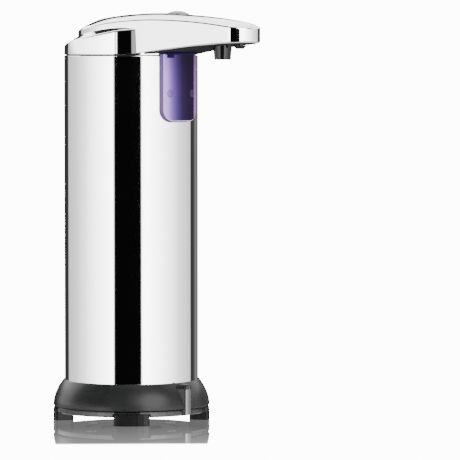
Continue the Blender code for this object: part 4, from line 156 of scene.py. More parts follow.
# Filler opening and button
NECK_RADIUS = 12.3 * MM
NECK_BEHIND = 8.4 * MM
BUTTON_AHEAD = 31.6 * MM
BUTTON_RADIUS = 4.95 * MM
BUTTON_CROWN = 1.4 * MM
BUTTON_SKIRT_TOP = 0.25 * MM
BUTTON_DOME_POWER = 2.4
BUTTON_DOME_STEPS = 24
BUTTON_FLANGE_RADIUS = 6.2 * MM
BUTTON_FLANGE_THICKNESS = 1.0 * MM
BUTTON_STEM_RADIUS = 1.5 * MM
BUTTON_STEM_LENGTH = 1.2 * MM

# Sensor window
WINDOW_HALF_WIDTH = 10.9 * MM
WINDOW_BOTTOM = SEAM_HEIGHT - 31.1 * MM
WINDOW_TOP = SEAM_HEIGHT + 1.6 * MM
WINDOW_CORNER = 5.5 * MM
WINDOW_TOP_CORNER = 1.0 * MM
LEAST_CORNER = WINDOW_TOP_CORNER / 4.0
WINDOW_BEVEL = 0.7 * MM
WINDOW_STEPS = 14
WINDOW_STANDOUT = 2.6 * MM
FACE_RADIUS = BODY_RADIUS + WINDOW_STANDOUT
WINDOW_WALL = 1.0 * MM
WINDOW_FRONT_WALL = 1.2 * MM
WINDOW_REAR = BODY_RADIUS - 4.7 * MM
BODY_BORE = BODY_RADIUS - 0.6 * MM
FLANGE_HALF_WIDTH = WINDOW_HALF_WIDTH + 1.5 * MM
FLANGE_FRONT = math.sqrt(BODY_BORE ** 2 - FLANGE_HALF_WIDTH ** 2) - FIT_GAP
FLANGE_THICKNESS = 1.0 * MM
FLANGE_BOTTOM = window_low.z
FLANGE_TOP = SEAM_HEIGHT - 2.8 * MM
PUMP_ROOM_RADIUS = 8.05 * MM
PUMP_ROOM_AHEAD = 22.0 * MM

# Looks of the window: its materials by place, and what shows in its face: painted light and shade across it,
# a painted navy shade band at its top, and the sensors
WINDOW_MATERIALS = ["window_face", "window_side", "window_bevel", "window_top"]
FACE_FACING = 0.97
BEVEL_FACING = 0.55
# Colours across the window's face: the violet tint with painted light at the near edge, painted shade across
# and a thin painted highlight near the far edge
VIOLET_PAINTED_LIGHT_ACROSS = [
    (0.0, (0.42, 0.24, 0.62)), (0.09, (0.34, 0.19, 0.56)), (0.16, (0.17, 0.095, 0.33)),
    (0.245, (0.085, 0.046, 0.20)), (0.36, (0.036, 0.020, 0.095)), (0.49, (0.016, 0.008, 0.036)),
    (0.70, (0.009, 0.004, 0.018)), (0.875, (0.009, 0.002, 0.014)), (0.90, (0.20, 0.075, 0.30)),
]
# Navy of the painted shade under the head, also the colour of the dark tab
NAVY = (0.012, 0.007, 0.05)
SHADE_BAND_BOTTOM = SEAM_HEIGHT + 0.3 * MM
SHADE_BAND_BLUR = 0.1 * MM
TAB_SIDES = (-9.3 * MM, -5.3 * MM)
TAB_BOTTOM = SEAM_HEIGHT - 1.2 * MM
SENSOR_SPOTS = [(-7.6 * MM, 0.0, 155.9 * MM), (7.1 * MM, 0.0, 155.9 * MM)]
SENSOR_MARK_RADIUS = 1.9 * MM
SENSOR_MARK_COLOUR = (0.055, 0.045, 0.075)
SENSOR_MARK_STOPS = [(0.0, 0.45), (0.6, 0.35), (0.75, 0.7), (0.88, 0.6), (1.0, 0.0)]

# Base skirt and its rib
SCREW_NODES = [f"base_screw_{number}" for number in range(1, 5)]
SKIRT_BOTTOM = 6.7 * MM
SKIRT_TOP = 19.1 * MM
LIP_RADIUS = BODY_RADIUS + 0.7 * MM
SKIRT_FLARE = BASE_RADIUS - LIP_RADIUS
SKIRT_EDGE = 0.5 * MM
SKIRT_STEPS = 20
LEDGE_TOP = 10.2 * MM
BELL_OUTER = 20.65 * MM
RIB_WIDTH = 3.2 * MM
RIB_PROUD = 0.1 * MM
RIB_STANDOUT = 1.2 * MM
RIB_FRONT = BASE_RADIUS + RIB_STANDOUT
RIB_NOSE = 1.3 * MM
RIB_NOSE_TURN = 84.0
RIB_NOSE_STEPS = 8
RIB_DROP = 2.2 * MM
RIB_BELOW_LIP = 0.3 * MM
RIB_ROUNDING = 2.4 * MM
RIB_ROUNDING_STEPS = 16
RIB_TOP = SKIRT_TOP - RIB_BELOW_LIP - RIB_ROUNDING
RIB_SINK = 0.2 * MM
RIB_FOOT_DEPTH = 2.4 * MM
RIB_SPLAY_SHARE = 0.6

# Nozzle
NOZZLE_TOP_RADIUS = 4.35 * MM
NOZZLE_END_RADIUS = 3.9 * MM
NOZZLE_BORE_RADIUS = 2.6 * MM
NOZZLE_FLANGE_RADIUS = 5.4 * MM
NOZZLE_FLANGE_HEIGHT = 1.0 * MM
NOZZLE_STRAIGHT = 3.2 * MM
NOZZLE_EDGE = 0.45 * MM

# Studio: brightness of the panels by azimuth in degrees from the camera, to the picture's right
WHITE = 12.5
LEFT_SIDE = [
    (-180, 0.06), (-139.5, 0.04), (-138, 1.0), (-110, 1.4), (-88, 2.4), (-66, 4.6), (-36, 8.2),
]
RIGHT_SIDE = [
    (30, 9.0), (64, 4.4), (90, 2.0), (122.5, 1.1),
    (125, 0.05), (136, 0.06), (150, 0.3), (163, 0.06),
]
BODY_PANELS = LEFT_SIDE + [
    (-31.2, 8.7), (-30.2, 2.0), (-29.3, 0.2), (-28.3, 0.003),
    (15.8, 0.003), (16.8, 0.2), (17.7, 2.0), (18.7, 9.0),
] + RIGHT_SIDE
COLLAR_PANELS = [
    (-180, 0.06), (-139.5, 0.04), (-138, 2.0), (-125, 3.4), (-110, 4.2), (-88, 4.8), (-66, 5.6),
    (-36, 8.0), (-28.6, 8.3), (-27.6, 0.2), (-26.6, 0.2), (-25.6, 7.0), (-24.8, 7.0), (-24, 0.3),
    (-23.2, 0.003), (0.4, 0.003), (1.6, 0.6), (10.2, 0.6), (11, 0.04), (12.4, 0.04), (13.4, 9.0),
] + RIGHT_SIDE
COLLAR_LIFT = 0.014
COLLAR_BLUR = 0.003

# Studio above and below the panels: limits are components of the direction, lights are brightnesses
DARK_LIFT = 0.13
FAR_LIFT = 0.25
LIFT_SHARPNESS = 50.0
DARK_DROP = -0.33
DROP_BLUR = 0.02
ZENITH = 0.93
ZENITH_BLUR = 0.03
LEFT_LIMIT = -0.22
RIGHT_LIMIT = 0.05
SIDE_REACH = 0.4
TOP_REACH = 0.6
LOW_LIMIT = 0.4
LIMIT_BLUR = 0.06
DARK_LIGHT = 0.04
TOP_LIGHT = 4.8
SIDE_TOP_LIGHT = 2.6
ZENITH_LIGHT = 3.6
LOW_LIGHT = 1.2
KEY_LIGHT = 12.0
KEY_TURN = math.radians(34)
KEY_RISE = math.radians(27)
KEY_WIDTH = (math.cos(math.radians(26)), math.cos(math.radians(14)))

# Floor: how much of the mirror is covered by white, from MIRROR_START to MIRROR_END towards the camera
FLOOR_HALF_SIZE = 3.0
FLOOR_GLOW = 2.6
MIRROR_STOPS = [(0.0, 0.989), (0.35, 0.985), (0.9, 0.977), (0.95, 0.95), (1.0, 0.0)]
MIRROR_START = 36.0 * MM
MIRROR_END = 114.0 * MM


# Curves of the head
def curve_value(points, position):
    """Height at a position on the smooth curve through (position, height) points."""
    last = len(points) - 1
    index = 0
    while index < last - 1 and position > points[index + 1][0]:
        index += 1
    start, end = points[index], points[index + 1]
    span = end[0] - start[0]
    share = min(max((position - start[0]) / span, 0.0), 1.0)
    slopes = []
    for near in (index, index + 1):
        low, high = points[max(near - 1, 0)], points[min(near + 1, last)]
        slopes.append((high[1] - low[1]) / (high[0] - low[0]) * span)
    bend = share * share * (3.0 - 2.0 * share)
    lead_in = share * (1.0 - share) ** 2 * slopes[0]
    lead_out = share * share * (share - 1.0) * slopes[1]
    return start[1] + (end[1] - start[1]) * bend + lead_in + lead_out


def soft_height(shares, position):
    """Height of the head on a curve of shares, evened out so that its reflections flow."""
    first, last = shares[0][0], shares[-1][0]
    reach = max(min(CURVE_BLUR * (last - first), position - first, last - position), 0.0)
    samples = [curve_value(shares, position + reach * step) for step in BLUR_SAMPLES]
    return SEAM_HEIGHT + HEAD_HEIGHT * (sum(samples) / len(samples))


def head_share(ahead):
    """Place along the head: 0 at the arch's rear, 1 at the spout's tip."""
    return (ahead + ARCH_RADIUS) / HEAD_LENGTH


def crown_height(ahead):
    """Middle line of the roof."""
    return soft_height(CROWN_SHARES, head_share(ahead))


def crease_height(ahead):
    """Edge between the roof and the sides."""
    return soft_height(CREASE_SHARES, head_share(ahead))


def underside_height(ahead):
    """Lower edge of the spout."""
    return SEAM_HEIGHT + HEAD_HEIGHT * curve_value(UNDERSIDE_SHARES, head_share(ahead))


def edge_height(direction):
    """Top edge of the collar, by the cosine of the direction from straight ahead."""
    return soft_height(EDGE_SHARES, direction)


def arch_foot_height(direction):
    """Line where the dome meets the arch, by the same cosine."""
    return soft_height(ARCH_FOOT_SHARES, direction)


# Shapes about the body's axis
def on_circle(radius, angle, height):
    """Point by its angle from straight ahead, towards +X."""
    return radius * math.sin(angle), -radius * math.cos(angle), height


def bridge(shape, rows):
    """Join rows of corners, each a closed loop or one point over and over, by bands of faces."""
    count = len(rows[0])
    for near, far in zip(rows, rows[1:]):
        for index in range(count):
            after = (index + 1) % count
            corners = dict.fromkeys((near[index], near[after], far[after], far[index]))
            shape.faces.new(tuple(corners))


def turned(profile, sides):
    """Solid of revolution round Z from an outline of (radius, height) points."""
    shape = bmesh.new()
    turn = Matrix.Rotation(FULL_TURN / sides, 3, "Z")
    rows = []
    for radius, height in profile:
        point = Vector((radius, 0.0, height))
        row = [shape.verts.new(point)]
        while len(row) < sides:
            point = turn @ point
            row.append(shape.verts.new(point) if radius > 0.0 else row[0])
        rows.append(row)
    if profile[0][0] > 0.0 or profile[-1][0] > 0.0:
        rows.append(rows[0])
    bridge(shape, rows)
    return shape


def rod(radius, bottom, top, sides, ahead=0.0):
    """Upright cylinder between two heights."""
    shape = turned([(0.0, bottom), (radius, bottom), (radius, top), (0.0, top)], sides)
    bmesh.ops.translate(shape, verts=shape.verts[:], vec=(0.0, -ahead, 0.0))
    return shape


def loft(loops, closed=True):
    """Solid through loops of equal length; an open one has shrunk to a line at each end."""
    shape = bmesh.new()
    rows = [[shape.verts.new(point) for point in loop] for loop in loops]
    bridge(shape, rows)
    if closed:
        shape.faces.new(rows[0])
        shape.faces.new(rows[-1])
    else:
        bmesh.ops.remove_doubles(shape, verts=shape.verts[:], dist=WELD)
        bmesh.ops.dissolve_degenerate(shape, edges=shape.edges[:], dist=WELD)
    return shape


def block(half_width, ahead, height):
    """Box across the middle, between pairs of limits ahead and in height."""
    near, far = ahead
    plan = [(-half_width, near), (half_width, near), (half_width, far), (-half_width, far)]
    return loft([[(x, -y, z) for x, y in plan] for z in height])


def rounded(centre, radii, start, end, steps=ARC_STEPS):
    """Points of an elliptic corner between two angles in degrees."""
    points = []
    for step in range(steps + 1):
        angle = math.radians(start + (end - start) * step / steps)
        points.append((centre[0] + radii[0] * math.cos(angle), centre[1] + radii[1] * math.sin(angle)))
    return points


def from_axis(point):
    """Distance of a point from the body's axis."""
    return math.hypot(point.x, point.y - AXIS_Y)


# Pieces
def new_piece(name, shape, place=None):
    """Object from a shape that was built about the body's axis."""
    bmesh.ops.recalc_face_normals(shape, faces=shape.faces[:])
    bmesh.ops.transform(shape, matrix=BODY_AXIS @ (place or Matrix.Identity(4)), verts=shape.verts[:])
    mesh = bpy.data.meshes.new(name)
    shape.to_mesh(mesh)
    shape.free()
    piece = bpy.data.objects.new(name, mesh)
    bpy.context.scene.collection.objects.link(piece)
    return piece


def combine(piece, tool, operation):
    """Apply a boolean with a tool and drop the tool."""
    modifier = piece.modifiers.new("carve", "BOOLEAN")
    modifier.object = tool
    modifier.operation = operation
    modifier.solver = "EXACT"
    bpy.context.view_layer.update()
    evaluated = piece.evaluated_get(bpy.context.evaluated_depsgraph_get())
    mesh = bpy.data.meshes.new_from_object(evaluated)
    piece.modifiers.clear()
    worn = piece.data
    piece.data = mesh
    bpy.data.meshes.remove(worn)
    bpy.data.objects.remove(tool)


def cut(piece, shape, place=None):
    """Cut a shape out of a piece."""
    combine(piece, new_piece("tool", shape, place), "DIFFERENCE")


def join(piece, shape):
    """Join a shape onto a piece."""
    combine(piece, new_piece("tool", shape), "UNION")


def wear(piece, materials):
    """Give a detailed piece its materials."""
    for material in materials:
        piece.data.materials.append(material)


def stand_in(piece, name, body="dispenser"):
    """Let a detailed piece take the place of a node."""
    for face in piece.data.polygons:
        face.use_smooth = True
    piece.data.set_sharp_from_angle(angle=SMOOTH_ANGLE)
    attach(piece, body)
    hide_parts(name)


def shade_seam(piece, top):
    """Paint shade into the seam: give the faces inside its shadow line, below a height, the second material,
    a dark plastic that stands for the shade.
    """
    shadow = BODY_RADIUS - SEAM_BEVEL * SEAM_SHADE_SHARE
    for face in piece.data.polygons:
        face.material_index = int(from_axis(face.center) < shadow and face.center.z < top)


# Node helpers. The mix node's colour sockets share their names with others, so they go by number.
MIX_FIRST, MIX_SECOND, MIX_RESULT = 6, 7, 2
BEVEL_SAMPLES = 6


def fill(tree, item, inputs):
    """Set inputs of a node by name or number, each to a value or to another node's output."""
    for key, value in inputs.items():
        socket = item.inputs[key]
        if isinstance(value, bpy.types.NodeSocket):
            tree.links.new(value, socket)
        elif socket.type == "RGBA":
            socket.default_value = (*value, 1.0)
        else:
            socket.default_value = value


def node(tree, kind, inputs=None, **settings):
    item = tree.nodes.new(kind)
    for key, value in settings.items():
        setattr(item, key, value)
    fill(tree, item, inputs or {})
    return item


def new_material(name):
    """Material with its node tree, its shader and the place on the object."""
    material = bpy.data.materials.new(name)
    material.use_nodes = True
    tree = material.node_tree
    place = node(tree, "ShaderNodeTexCoord").outputs["Object"]
    return material, tree, tree.nodes["Principled BSDF"], place


def noise(tree, place, scale, detail=2.0, stretch=None):
    """Noise value at a place, with cells of about 1/scale metres."""
    if stretch:
        place = node(tree, "ShaderNodeMapping", {"Vector": place, "Scale": stretch}).outputs["Vector"]
    inputs = {"Vector": place, "Scale": scale, "Detail": detail}
    return node(tree, "ShaderNodeTexNoise", inputs).outputs["Fac"]


def ramp(tree, value, stops):
    """Colour from (position, grey or colour) stops."""
    item = node(tree, "ShaderNodeValToRGB", {"Fac": value})
    band = item.color_ramp
    while len(band.elements) < len(stops):
        band.elements.new(0.5)
    for element, (position, colour) in zip(band.elements, stops):
        element.position = position
        if isinstance(colour, (int, float)):
            colour = (colour, colour, colour)
        element.color = (*colour, 1.0)
    return item.outputs["Color"]


def spread(tree, value, low, high, low_out=0.0, high_out=1.0):
    """Straight change from one value at low to another at high, level beyond them."""
    inputs = {"Value": value, "From Min": low, "From Max": high, "To Min": low_out, "To Max": high_out}
    return node(tree, "ShaderNodeMapRange", inputs).outputs["Result"]


def math_node(tree, operation, first, second):
    return node(tree, "ShaderNodeMath", {0: first, 1: second}, operation=operation).outputs["Value"]


def vector_node(tree, operation, first, second):
    return node(tree, "ShaderNodeVectorMath", {0: first, 1: second}, operation=operation).outputs["Value"]


def blend(tree, factor, first, second):
    """Colour between two colours."""
    inputs = {"Factor": factor, MIX_FIRST: first, MIX_SECOND: second}
    return node(tree, "ShaderNodeMix", inputs, data_type="RGBA").outputs[MIX_RESULT]


def relief(tree, shader, height, distance, strength, edge=0.0):
    """Bump from a height, over edges rounded by a small radius."""
    item = node(tree, "ShaderNodeBump", {"Height": height, "Distance": distance, "Strength": strength})
    if edge:
        soft = node(tree, "ShaderNodeBevel", {"Radius": edge}, samples=BEVEL_SAMPLES)
        fill(tree, item, {"Normal": soft.outputs["Normal"]})
    fill(tree, shader, {"Normal": item.outputs["Normal"]})


# Finishes: lengths in metres, noise scales in cells per metre
PATCH_RANGE = (0.3, 0.7)
POLISH_ROUGHNESS = (0.03, 0.039)
RIM_ROUGHNESS = (0.15, 0.25)


def scaled(colour, share):
    return tuple(share * value for value in colour)


def mottle(tree, shader, patches, colours, roughness):
    """Let colour and roughness drift between two values with the patches."""
    fill(tree, shader, {
        "Base Color": ramp(tree, patches, list(zip(PATCH_RANGE, colours))),
        "Roughness": spread(tree, patches, *PATCH_RANGE, *roughness),
    })


def polished_metal(name, tint, edge):
    """Mirror-polished metal with a faint polishing haze and upright lines."""
    material, tree, shader, place = new_material(name)
    haze = noise(tree, place, scale=60.0, detail=3.0)
    lines = noise(tree, place, scale=900.0, stretch=(1.0, 1.0, 0.02))
    fill(tree, shader, {"Metallic": 1.0})
    mottle(tree, shader, haze, (scaled(tint, 0.985), tint), POLISH_ROUGHNESS)
    relief(tree, shader, lines, distance=0.0001 * MM, strength=0.1, edge=edge)
    return material


def moulded(name, colour, rough, grain=0.004 * MM, scale=2500.0, level=0.4, coat=0.0, edge=0.0):
    """Moulded plastic with a grain of a depth and a scale, a specular level and softened edges."""
    material, tree, shader, place = new_material(name)
    patches = noise(tree, place, scale=90.0, detail=3.0)
    fine = noise(tree, place, scale=scale)
    mottle(tree, shader, patches, (scaled(colour, 0.85), scaled(colour, 1.12)), (rough * 0.85, rough * 1.2))
    fill(tree, shader, {"Specular IOR Level": level, "Coat Weight": coat, "Coat Roughness": 0.04})
    relief(tree, shader, fine, distance=grain, strength=0.35, edge=edge)
    return material


def clear_plastic(name, colour, rough, through):
    """Translucent moulded plastic."""
    material, tree, shader, place = new_material(name)
    patches = noise(tree, place, scale=120.0, detail=3.0)
    fine = noise(tree, place, scale=1800.0)
    mottle(tree, shader, patches, (scaled(colour, 0.93), colour), (rough * 0.85, rough * 1.15))
    fill(tree, shader, {"Transmission Weight": through})
    relief(tree, shader, fine, distance=0.005 * MM, strength=0.3)
    return material


def plated_metal(name, colour, rough):
    """Plated or rolled metal with stains and fine scratches."""
    material, tree, shader, place = new_material(name)
    patches = noise(tree, place, scale=300.0, detail=4.0)
    fine = noise(tree, place, scale=4000.0)
    fill(tree, shader, {"Metallic": 1.0})
    mottle(tree, shader, patches, (scaled(colour, 0.85), colour), (rough * 0.8, rough * 1.3))
    relief(tree, shader, fine, distance=0.002 * MM, strength=0.3)
    return material


def sensor_mark(tree, aside, height, spot):
    """How strongly a sensor shows through the window around its place."""
    flat = node(tree, "ShaderNodeCombineXYZ", {"X": aside, "Z": height}).outputs["Vector"]
    distance = vector_node(tree, "DISTANCE", flat, spot)
    return ramp(tree, spread(tree, distance, 0.0, SENSOR_MARK_RADIUS), SENSOR_MARK_STOPS)


def tab_area(tree, aside, height):
    """1 on the dark tab at the window's top, 0 elsewhere."""
    right_of = math_node(tree, "GREATER_THAN", aside, TAB_SIDES[0])
    left_of = math_node(tree, "LESS_THAN", aside, TAB_SIDES[1])
    above = math_node(tree, "GREATER_THAN", height, TAB_BOTTOM)
    return math_node(tree, "MULTIPLY", math_node(tree, "MULTIPLY", right_of, left_of), above)


def violet_face(name):
    """Face of the clear violet window: painted light at its near edge, painted shade across and a painted
    navy shade band at its top, a sensor at each side.
    """
    material, tree, shader, place = new_material(name)
    parts = node(tree, "ShaderNodeSeparateXYZ", {"Vector": place}).outputs
    aside, height = parts["X"], parts["Z"]
    # The colour across the face is the violet tint with painted light at the near edge and painted shade
    # across it
    colour = ramp(tree, spread(tree, aside, -WINDOW_HALF_WIDTH, WINDOW_HALF_WIDTH), VIOLET_PAINTED_LIGHT_ACROSS)
    for spot in SENSOR_SPOTS:
        colour = blend(tree, sensor_mark(tree, aside, height, spot), colour, SENSOR_MARK_COLOUR)
    # Painted shade: a navy band across the window's top, under the head
    band = spread(tree, height, SHADE_BAND_BOTTOM - SHADE_BAND_BLUR, SHADE_BAND_BOTTOM + SHADE_BAND_BLUR)
    colour = blend(tree, band, colour, NAVY)
    colour = blend(tree, tab_area(tree, aside, height), colour, NAVY)
    fill(tree, shader, {"Base Color": colour, "Roughness": 0.05, "Specular IOR Level": 0.03})
    relief(tree, shader, noise(tree, place, scale=150.0), distance=0.01 * MM, strength=0.1)
    return material


def violet_rim(name, low, high, glow):
    """Side or bevel of the window with a painted glow for the light that gathers there, from its low to its
    high colour.
    """
    material, tree, shader, place = new_material(name)
    height = node(tree, "ShaderNodeSeparateXYZ", {"Vector": place}).outputs["Z"]
    colour = ramp(tree, spread(tree, height, WINDOW_BOTTOM, SEAM_HEIGHT), [(0.0, low), (1.0, high)])
    # The emission is a painted glow; the bevel's bright colour is a painted highlight over the violet tint
    fill(tree, shader, {
        "Base Color": colour, "Emission Color": colour, "Emission Strength": glow, "Specular IOR Level": 0.1,
        "Roughness": spread(tree, noise(tree, place, scale=300.0), *PATCH_RANGE, *RIM_ROUGHNESS),
    })
    return material


# How each finish is made
FINISHES = {
    "chrome_plating": (polished_metal, dict(tint=(0.94, 0.925, 0.94), edge=0.12 * MM)),
    "polished_steel": (polished_metal, dict(tint=(0.935, 0.92, 0.935), edge=0.15 * MM)),
    "base_black": (moulded, dict(colour=(0.012, 0.012, 0.0124), rough=0.3, level=0.15, edge=0.25 * MM)),
    "rib_black": (moulded, dict(
        colour=(0.014, 0.014, 0.0144), rough=0.08, grain=0.0003 * MM, level=0.5, coat=1.0)),
    "plate_black": (moulded, dict(colour=(0.012, 0.012, 0.0123), rough=0.16, level=0.3)),
    "nozzle_black": (moulded, dict(colour=(0.004, 0.004, 0.0042), rough=0.08, grain=0.0003 * MM, level=0.22)),
    "underplate_black": (moulded, dict(colour=(0.02, 0.02, 0.02), rough=0.4, level=0.0)),
    "foot_rubber": (moulded, dict(
        colour=(0.006, 0.006, 0.0062), rough=0.25, grain=0.003 * MM, scale=1500.0, level=0.1, edge=0.5 * MM)),
    "inner_white": (moulded, dict(colour=(0.62, 0.62, 0.58), rough=0.4, grain=0.005 * MM, scale=1800.0)),
    "gear_nylon": (moulded, dict(colour=(0.78, 0.76, 0.70), rough=0.45, grain=0.005 * MM, scale=1800.0)),
    "lead_red": (moulded, dict(colour=(0.35, 0.02, 0.02), rough=0.45, grain=0.005 * MM, scale=1800.0)),
    "button_silver": (moulded, dict(
        colour=(0.085, 0.085, 0.087), rough=0.22, grain=0.002 * MM, scale=1800.0, level=0.6)),
    "cell_wrap": (moulded, dict(
        colour=(0.05, 0.07, 0.11), rough=0.3, grain=0.002 * MM, scale=1800.0, level=0.5)),
    "board_green": (moulded, dict(
        colour=(0.02, 0.14, 0.06), rough=0.4, grain=0.005 * MM, scale=900.0, level=0.5)),
    "sensor_resin": (moulded, dict(
        colour=(0.35, 0.35, 0.40), rough=0.15, grain=0.001 * MM, scale=900.0, level=0.5)),
    "reservoir_clear": (clear_plastic, dict(colour=(0.72, 0.76, 0.78), rough=0.3, through=0.35)),
    "tube_clear": (clear_plastic, dict(colour=(0.75, 0.75, 0.72), rough=0.3, through=0.3)),
    "screw_steel": (plated_metal, dict(colour=(0.55, 0.55, 0.55), rough=0.3)),
    "contact_nickel": (plated_metal, dict(colour=(0.72, 0.68, 0.55), rough=0.25)),
    "window_face": (violet_face, {}),
    # Window side and bevel: violet tint with a painted glow, brighter on the bevel as a painted highlight
    "window_side": (violet_rim, dict(low=(0.13, 0.07, 0.17), high=(0.10, 0.07, 0.22), glow=0.12)),
    "window_bevel": (violet_rim, dict(low=(0.42, 0.24, 0.60), high=(0.36, 0.24, 0.62), glow=0.35)),
    # Top faces of the window: navy painted shade under the head
    "window_top": (moulded, dict(colour=NAVY, rough=0.2, level=0.05)),
}

# Carried-over nodes by their finish
NODES_BY_FINISH = {
    "chrome_plating": ["filler_cap"],
    "plate_black": ["base_plate", "battery_cover", "battery_holder", "sensor_holder", "switch_plunger"],
    "nozzle_black": ["status_lens"],
    "underplate_black": ["spout_underplate"],
    "foot_rubber": [
        "foot_front_right", "foot_rear_right", "foot_rear_left", "foot_front_left",
        "cover_seal", "filler_seal", "shaft_seal", "outlet_valve",
    ],
    "reservoir_clear": ["reservoir"],
    "tube_clear": ["dip_tube", "outlet_tube"],
    "gear_nylon": ["drive_gear", "driven_gear"],
    "board_green": ["control_board", "sensor_board"],
    "sensor_resin": ["infrared_emitter", "infrared_receiver", "status_light"],
    "lead_red": ["battery_lead"],
    "cell_wrap": [name for name in NODES if name.startswith("battery_cell")],
    "contact_nickel": [name for name in NODES if name.startswith("contact_")],
    "screw_steel": SCREW_NODES + ["idler_pin", "motor_can", "motor_rotor", "push_switch"],
    "inner_white": [
        "battery_housing", "filler_funnel", "chassis_deck", "motor_end_cap", "pump_housing",
        "pump_cover", "nozzle_elbow", "strainer",
    ],
}


def paint(name, material):
    """Give a carried-over node its finish."""
    for slot in NODES[name].material_slots:
        slot.material = material


# Tube
def build_tube(materials):
    """Tube with a rounded upper edge and the window's notch."""
    bevel_low = SEAM_HEIGHT - SEAM_BEVEL
    profile = [(BODY_RADIUS, tube_low.z), (BODY_RADIUS, bevel_low - EDGE_SUPPORT)]
    profile += rounded((BODY_RADIUS - SEAM_BEVEL, bevel_low), (SEAM_BEVEL, SEAM_BEVEL), 0.0, 90.0)
    profile += [(BODY_BORE, SEAM_HEIGHT), (BODY_BORE, tube_low.z)]
    tube = new_piece("body_tube_polished", turned(profile, ROUND_SIDES))
    notch = window_shape(
        WINDOW_HALF_WIDTH + FIT_GAP, WINDOW_BOTTOM - FIT_GAP, SEAM_HEIGHT + OVERRUN,
        WINDOW_CORNER + FIT_GAP, WINDOW_TOP_CORNER,
        [(0.0, flat_face(BODY_RADIUS / 2.0)), (0.0, flat_face(BODY_RADIUS + OVERRUN))],
    )
    cut(tube, notch)
    wear(tube, materials)
    shade_seam(tube, COLLAR_BOTTOM)
    stand_in(tube, "body_tube")


# Head
def arc(ahead, aside, radius, start, end, steps):
    """Points on an arc in plan between two angles, without the last."""
    angles = [start + (end - start) * step / steps for step in range(steps)]
    return [(ahead + radius * math.cos(angle), aside + radius * math.sin(angle)) for angle in angles]


def plan_outline(inset):
    """Half outline of arch and spout in plan, rear to tip, as (ahead, aside) points."""
    rear = ARCH_RADIUS - inset
    corner = TIP_CORNER_RADIUS - inset
    front = TIP_FRONT_RADIUS - inset
    meet = QUARTER_TURN - TAPER
    start = (rear * math.cos(meet), rear * math.sin(meet))
    end = (CORNER_AHEAD + corner * math.cos(meet), CORNER_ASIDE + corner * math.sin(meet))
    outline = [(-rear, 0.0)]
    outline += arc(0.0, 0.0, rear, math.pi, meet, REAR_STATIONS)[1:]
    for step in range(SIDE_STATIONS):
        share = step / SIDE_STATIONS
        outline.append((start[0] + (end[0] - start[0]) * share, start[1] + (end[1] - start[1]) * share))
    outline += arc(CORNER_AHEAD, CORNER_ASIDE, corner, meet, TIP_CORNER_TURN, CORNER_STATIONS)
    outline += arc(TIP_CENTRE, 0.0, front, TIP_CORNER_TURN, 0.0, FRONT_STATIONS)
    outline.append((TIP_CENTRE + front, 0.0))
    return outline


def roof_points(ahead, aside, lift):
    """Points over the roof from its edge at a station up to the middle."""
    crease = crease_height(ahead)
    points = []
    for step in range(1, ROOF_STEPS + 1):
        share = math.cos(QUARTER_TURN * step / ROOF_STEPS) if step < ROOF_STEPS else 0.0
        rise = (crown_height(ahead) - crease) * (1.0 - share * share)
        points.append((aside * share, -ahead, crease + lift + rise))
    return points


def arch_solid(inset, floor, drop=0.0):
    """Arch and spout from a floor height up to the crowned roof, with rounded edges."""
    foot = rounded((FOOT_BEVEL, FOOT_BEVEL), (-FOOT_BEVEL, FOOT_BEVEL), -90.0, 0.0)
    foot.append((0.0, FOOT_BEVEL + EDGE_SUPPORT))
    crest = [(0.0, -CREASE_BEVEL - EDGE_SUPPORT)]
    crest += rounded((CREASE_BEVEL, -CREASE_BEVEL), (-CREASE_BEVEL, CREASE_BEVEL), 0.0, CREASE_TURN)
    low_rings = [(plan_outline(inset + back), rise) for back, rise in foot]
    high_rings = [(plan_outline(inset + back), rise) for back, rise in crest]
    roof, roof_rise = high_rings[-1]
    loops = []
    for index, (roof_ahead, roof_aside) in enumerate(roof):
        floor_ahead = low_rings[0][0][index][0]
        side = [(0.0, -floor_ahead, floor(floor_ahead))]
        for outline, rise in low_rings:
            ahead, aside = outline[index]
            side.append((aside, -ahead, floor(ahead) + rise))
        for outline, rise in high_rings:
            ahead, aside = outline[index]
            side.append((aside, -ahead, crease_height(ahead) + rise - drop))
        side += roof_points(roof_ahead, roof_aside, roof_rise - drop)
        loops.append(side + [(-x, y, z) for x, y, z in reversed(side[1:-1])])
    return loft(loops, closed=False)


def arch_floor(ahead):
    """Lower end of the arch: the spout's edge, or just above the seam inside the dome."""
    return max(underside_height(ahead), SEAM_HEIGHT + ARCH_SINK)


def open_floor(ahead):
    """Lower end of the arch's hollow, which cuts the spout open from below."""
    return underside_height(ahead) - HEAD_WALL


def dome_solid(inset, low_rings, top_share):
    """Collar with the shallow dome that rises from its edge to the arch's foot."""
    angles = [FULL_TURN * step / ROUND_SIDES for step in range(ROUND_SIDES)]
    edges = [edge_height(math.cos(angle)) - inset for angle in angles]
    peaks = [arch_foot_height(math.cos(angle)) - inset for angle in angles]
    tops = [BODY_RADIUS - inset - COLLAR_LEAN * (edge - SEAM_HEIGHT) for edge in edges]
    loops = [[on_circle(size, angle, height) for angle in angles] for size, height in low_rings]
    wall_size, wall_low = low_rings[-1]
    loops.append([on_circle(wall_size, angle, wall_low + EDGE_SUPPORT) for angle in angles])
    rounding = [(0.0, -COLLAR_BEVEL - EDGE_SUPPORT)]
    rounding += rounded((-COLLAR_BEVEL, -COLLAR_BEVEL), (COLLAR_BEVEL, COLLAR_BEVEL), 0.0, COLLAR_TURN)
    for back, rise in rounding:
        loops.append([
            on_circle(top + back, angle, edge + rise) for angle, edge, top in zip(angles, edges, tops)])
    for step in range(DOME_STEPS + 1):
        share = DOME_REACH_SHARE * step / DOME_STEPS
        loop = []
        for angle, edge, peak, top in zip(angles, edges, peaks, tops):
            rim = top - COLLAR_BEVEL
            size = rim + (ARCH_RADIUS - inset - rim) * share
            loop.append(on_circle(size, angle, edge + (peak - edge) * share))
        loops.append(loop)
    flat = SEAM_HEIGHT + HEAD_HEIGHT * top_share
    loops.append([on_circle(ARCH_RADIUS * DOME_CORE_SHARE, angle, flat) for angle in angles])
    return loft(loops)


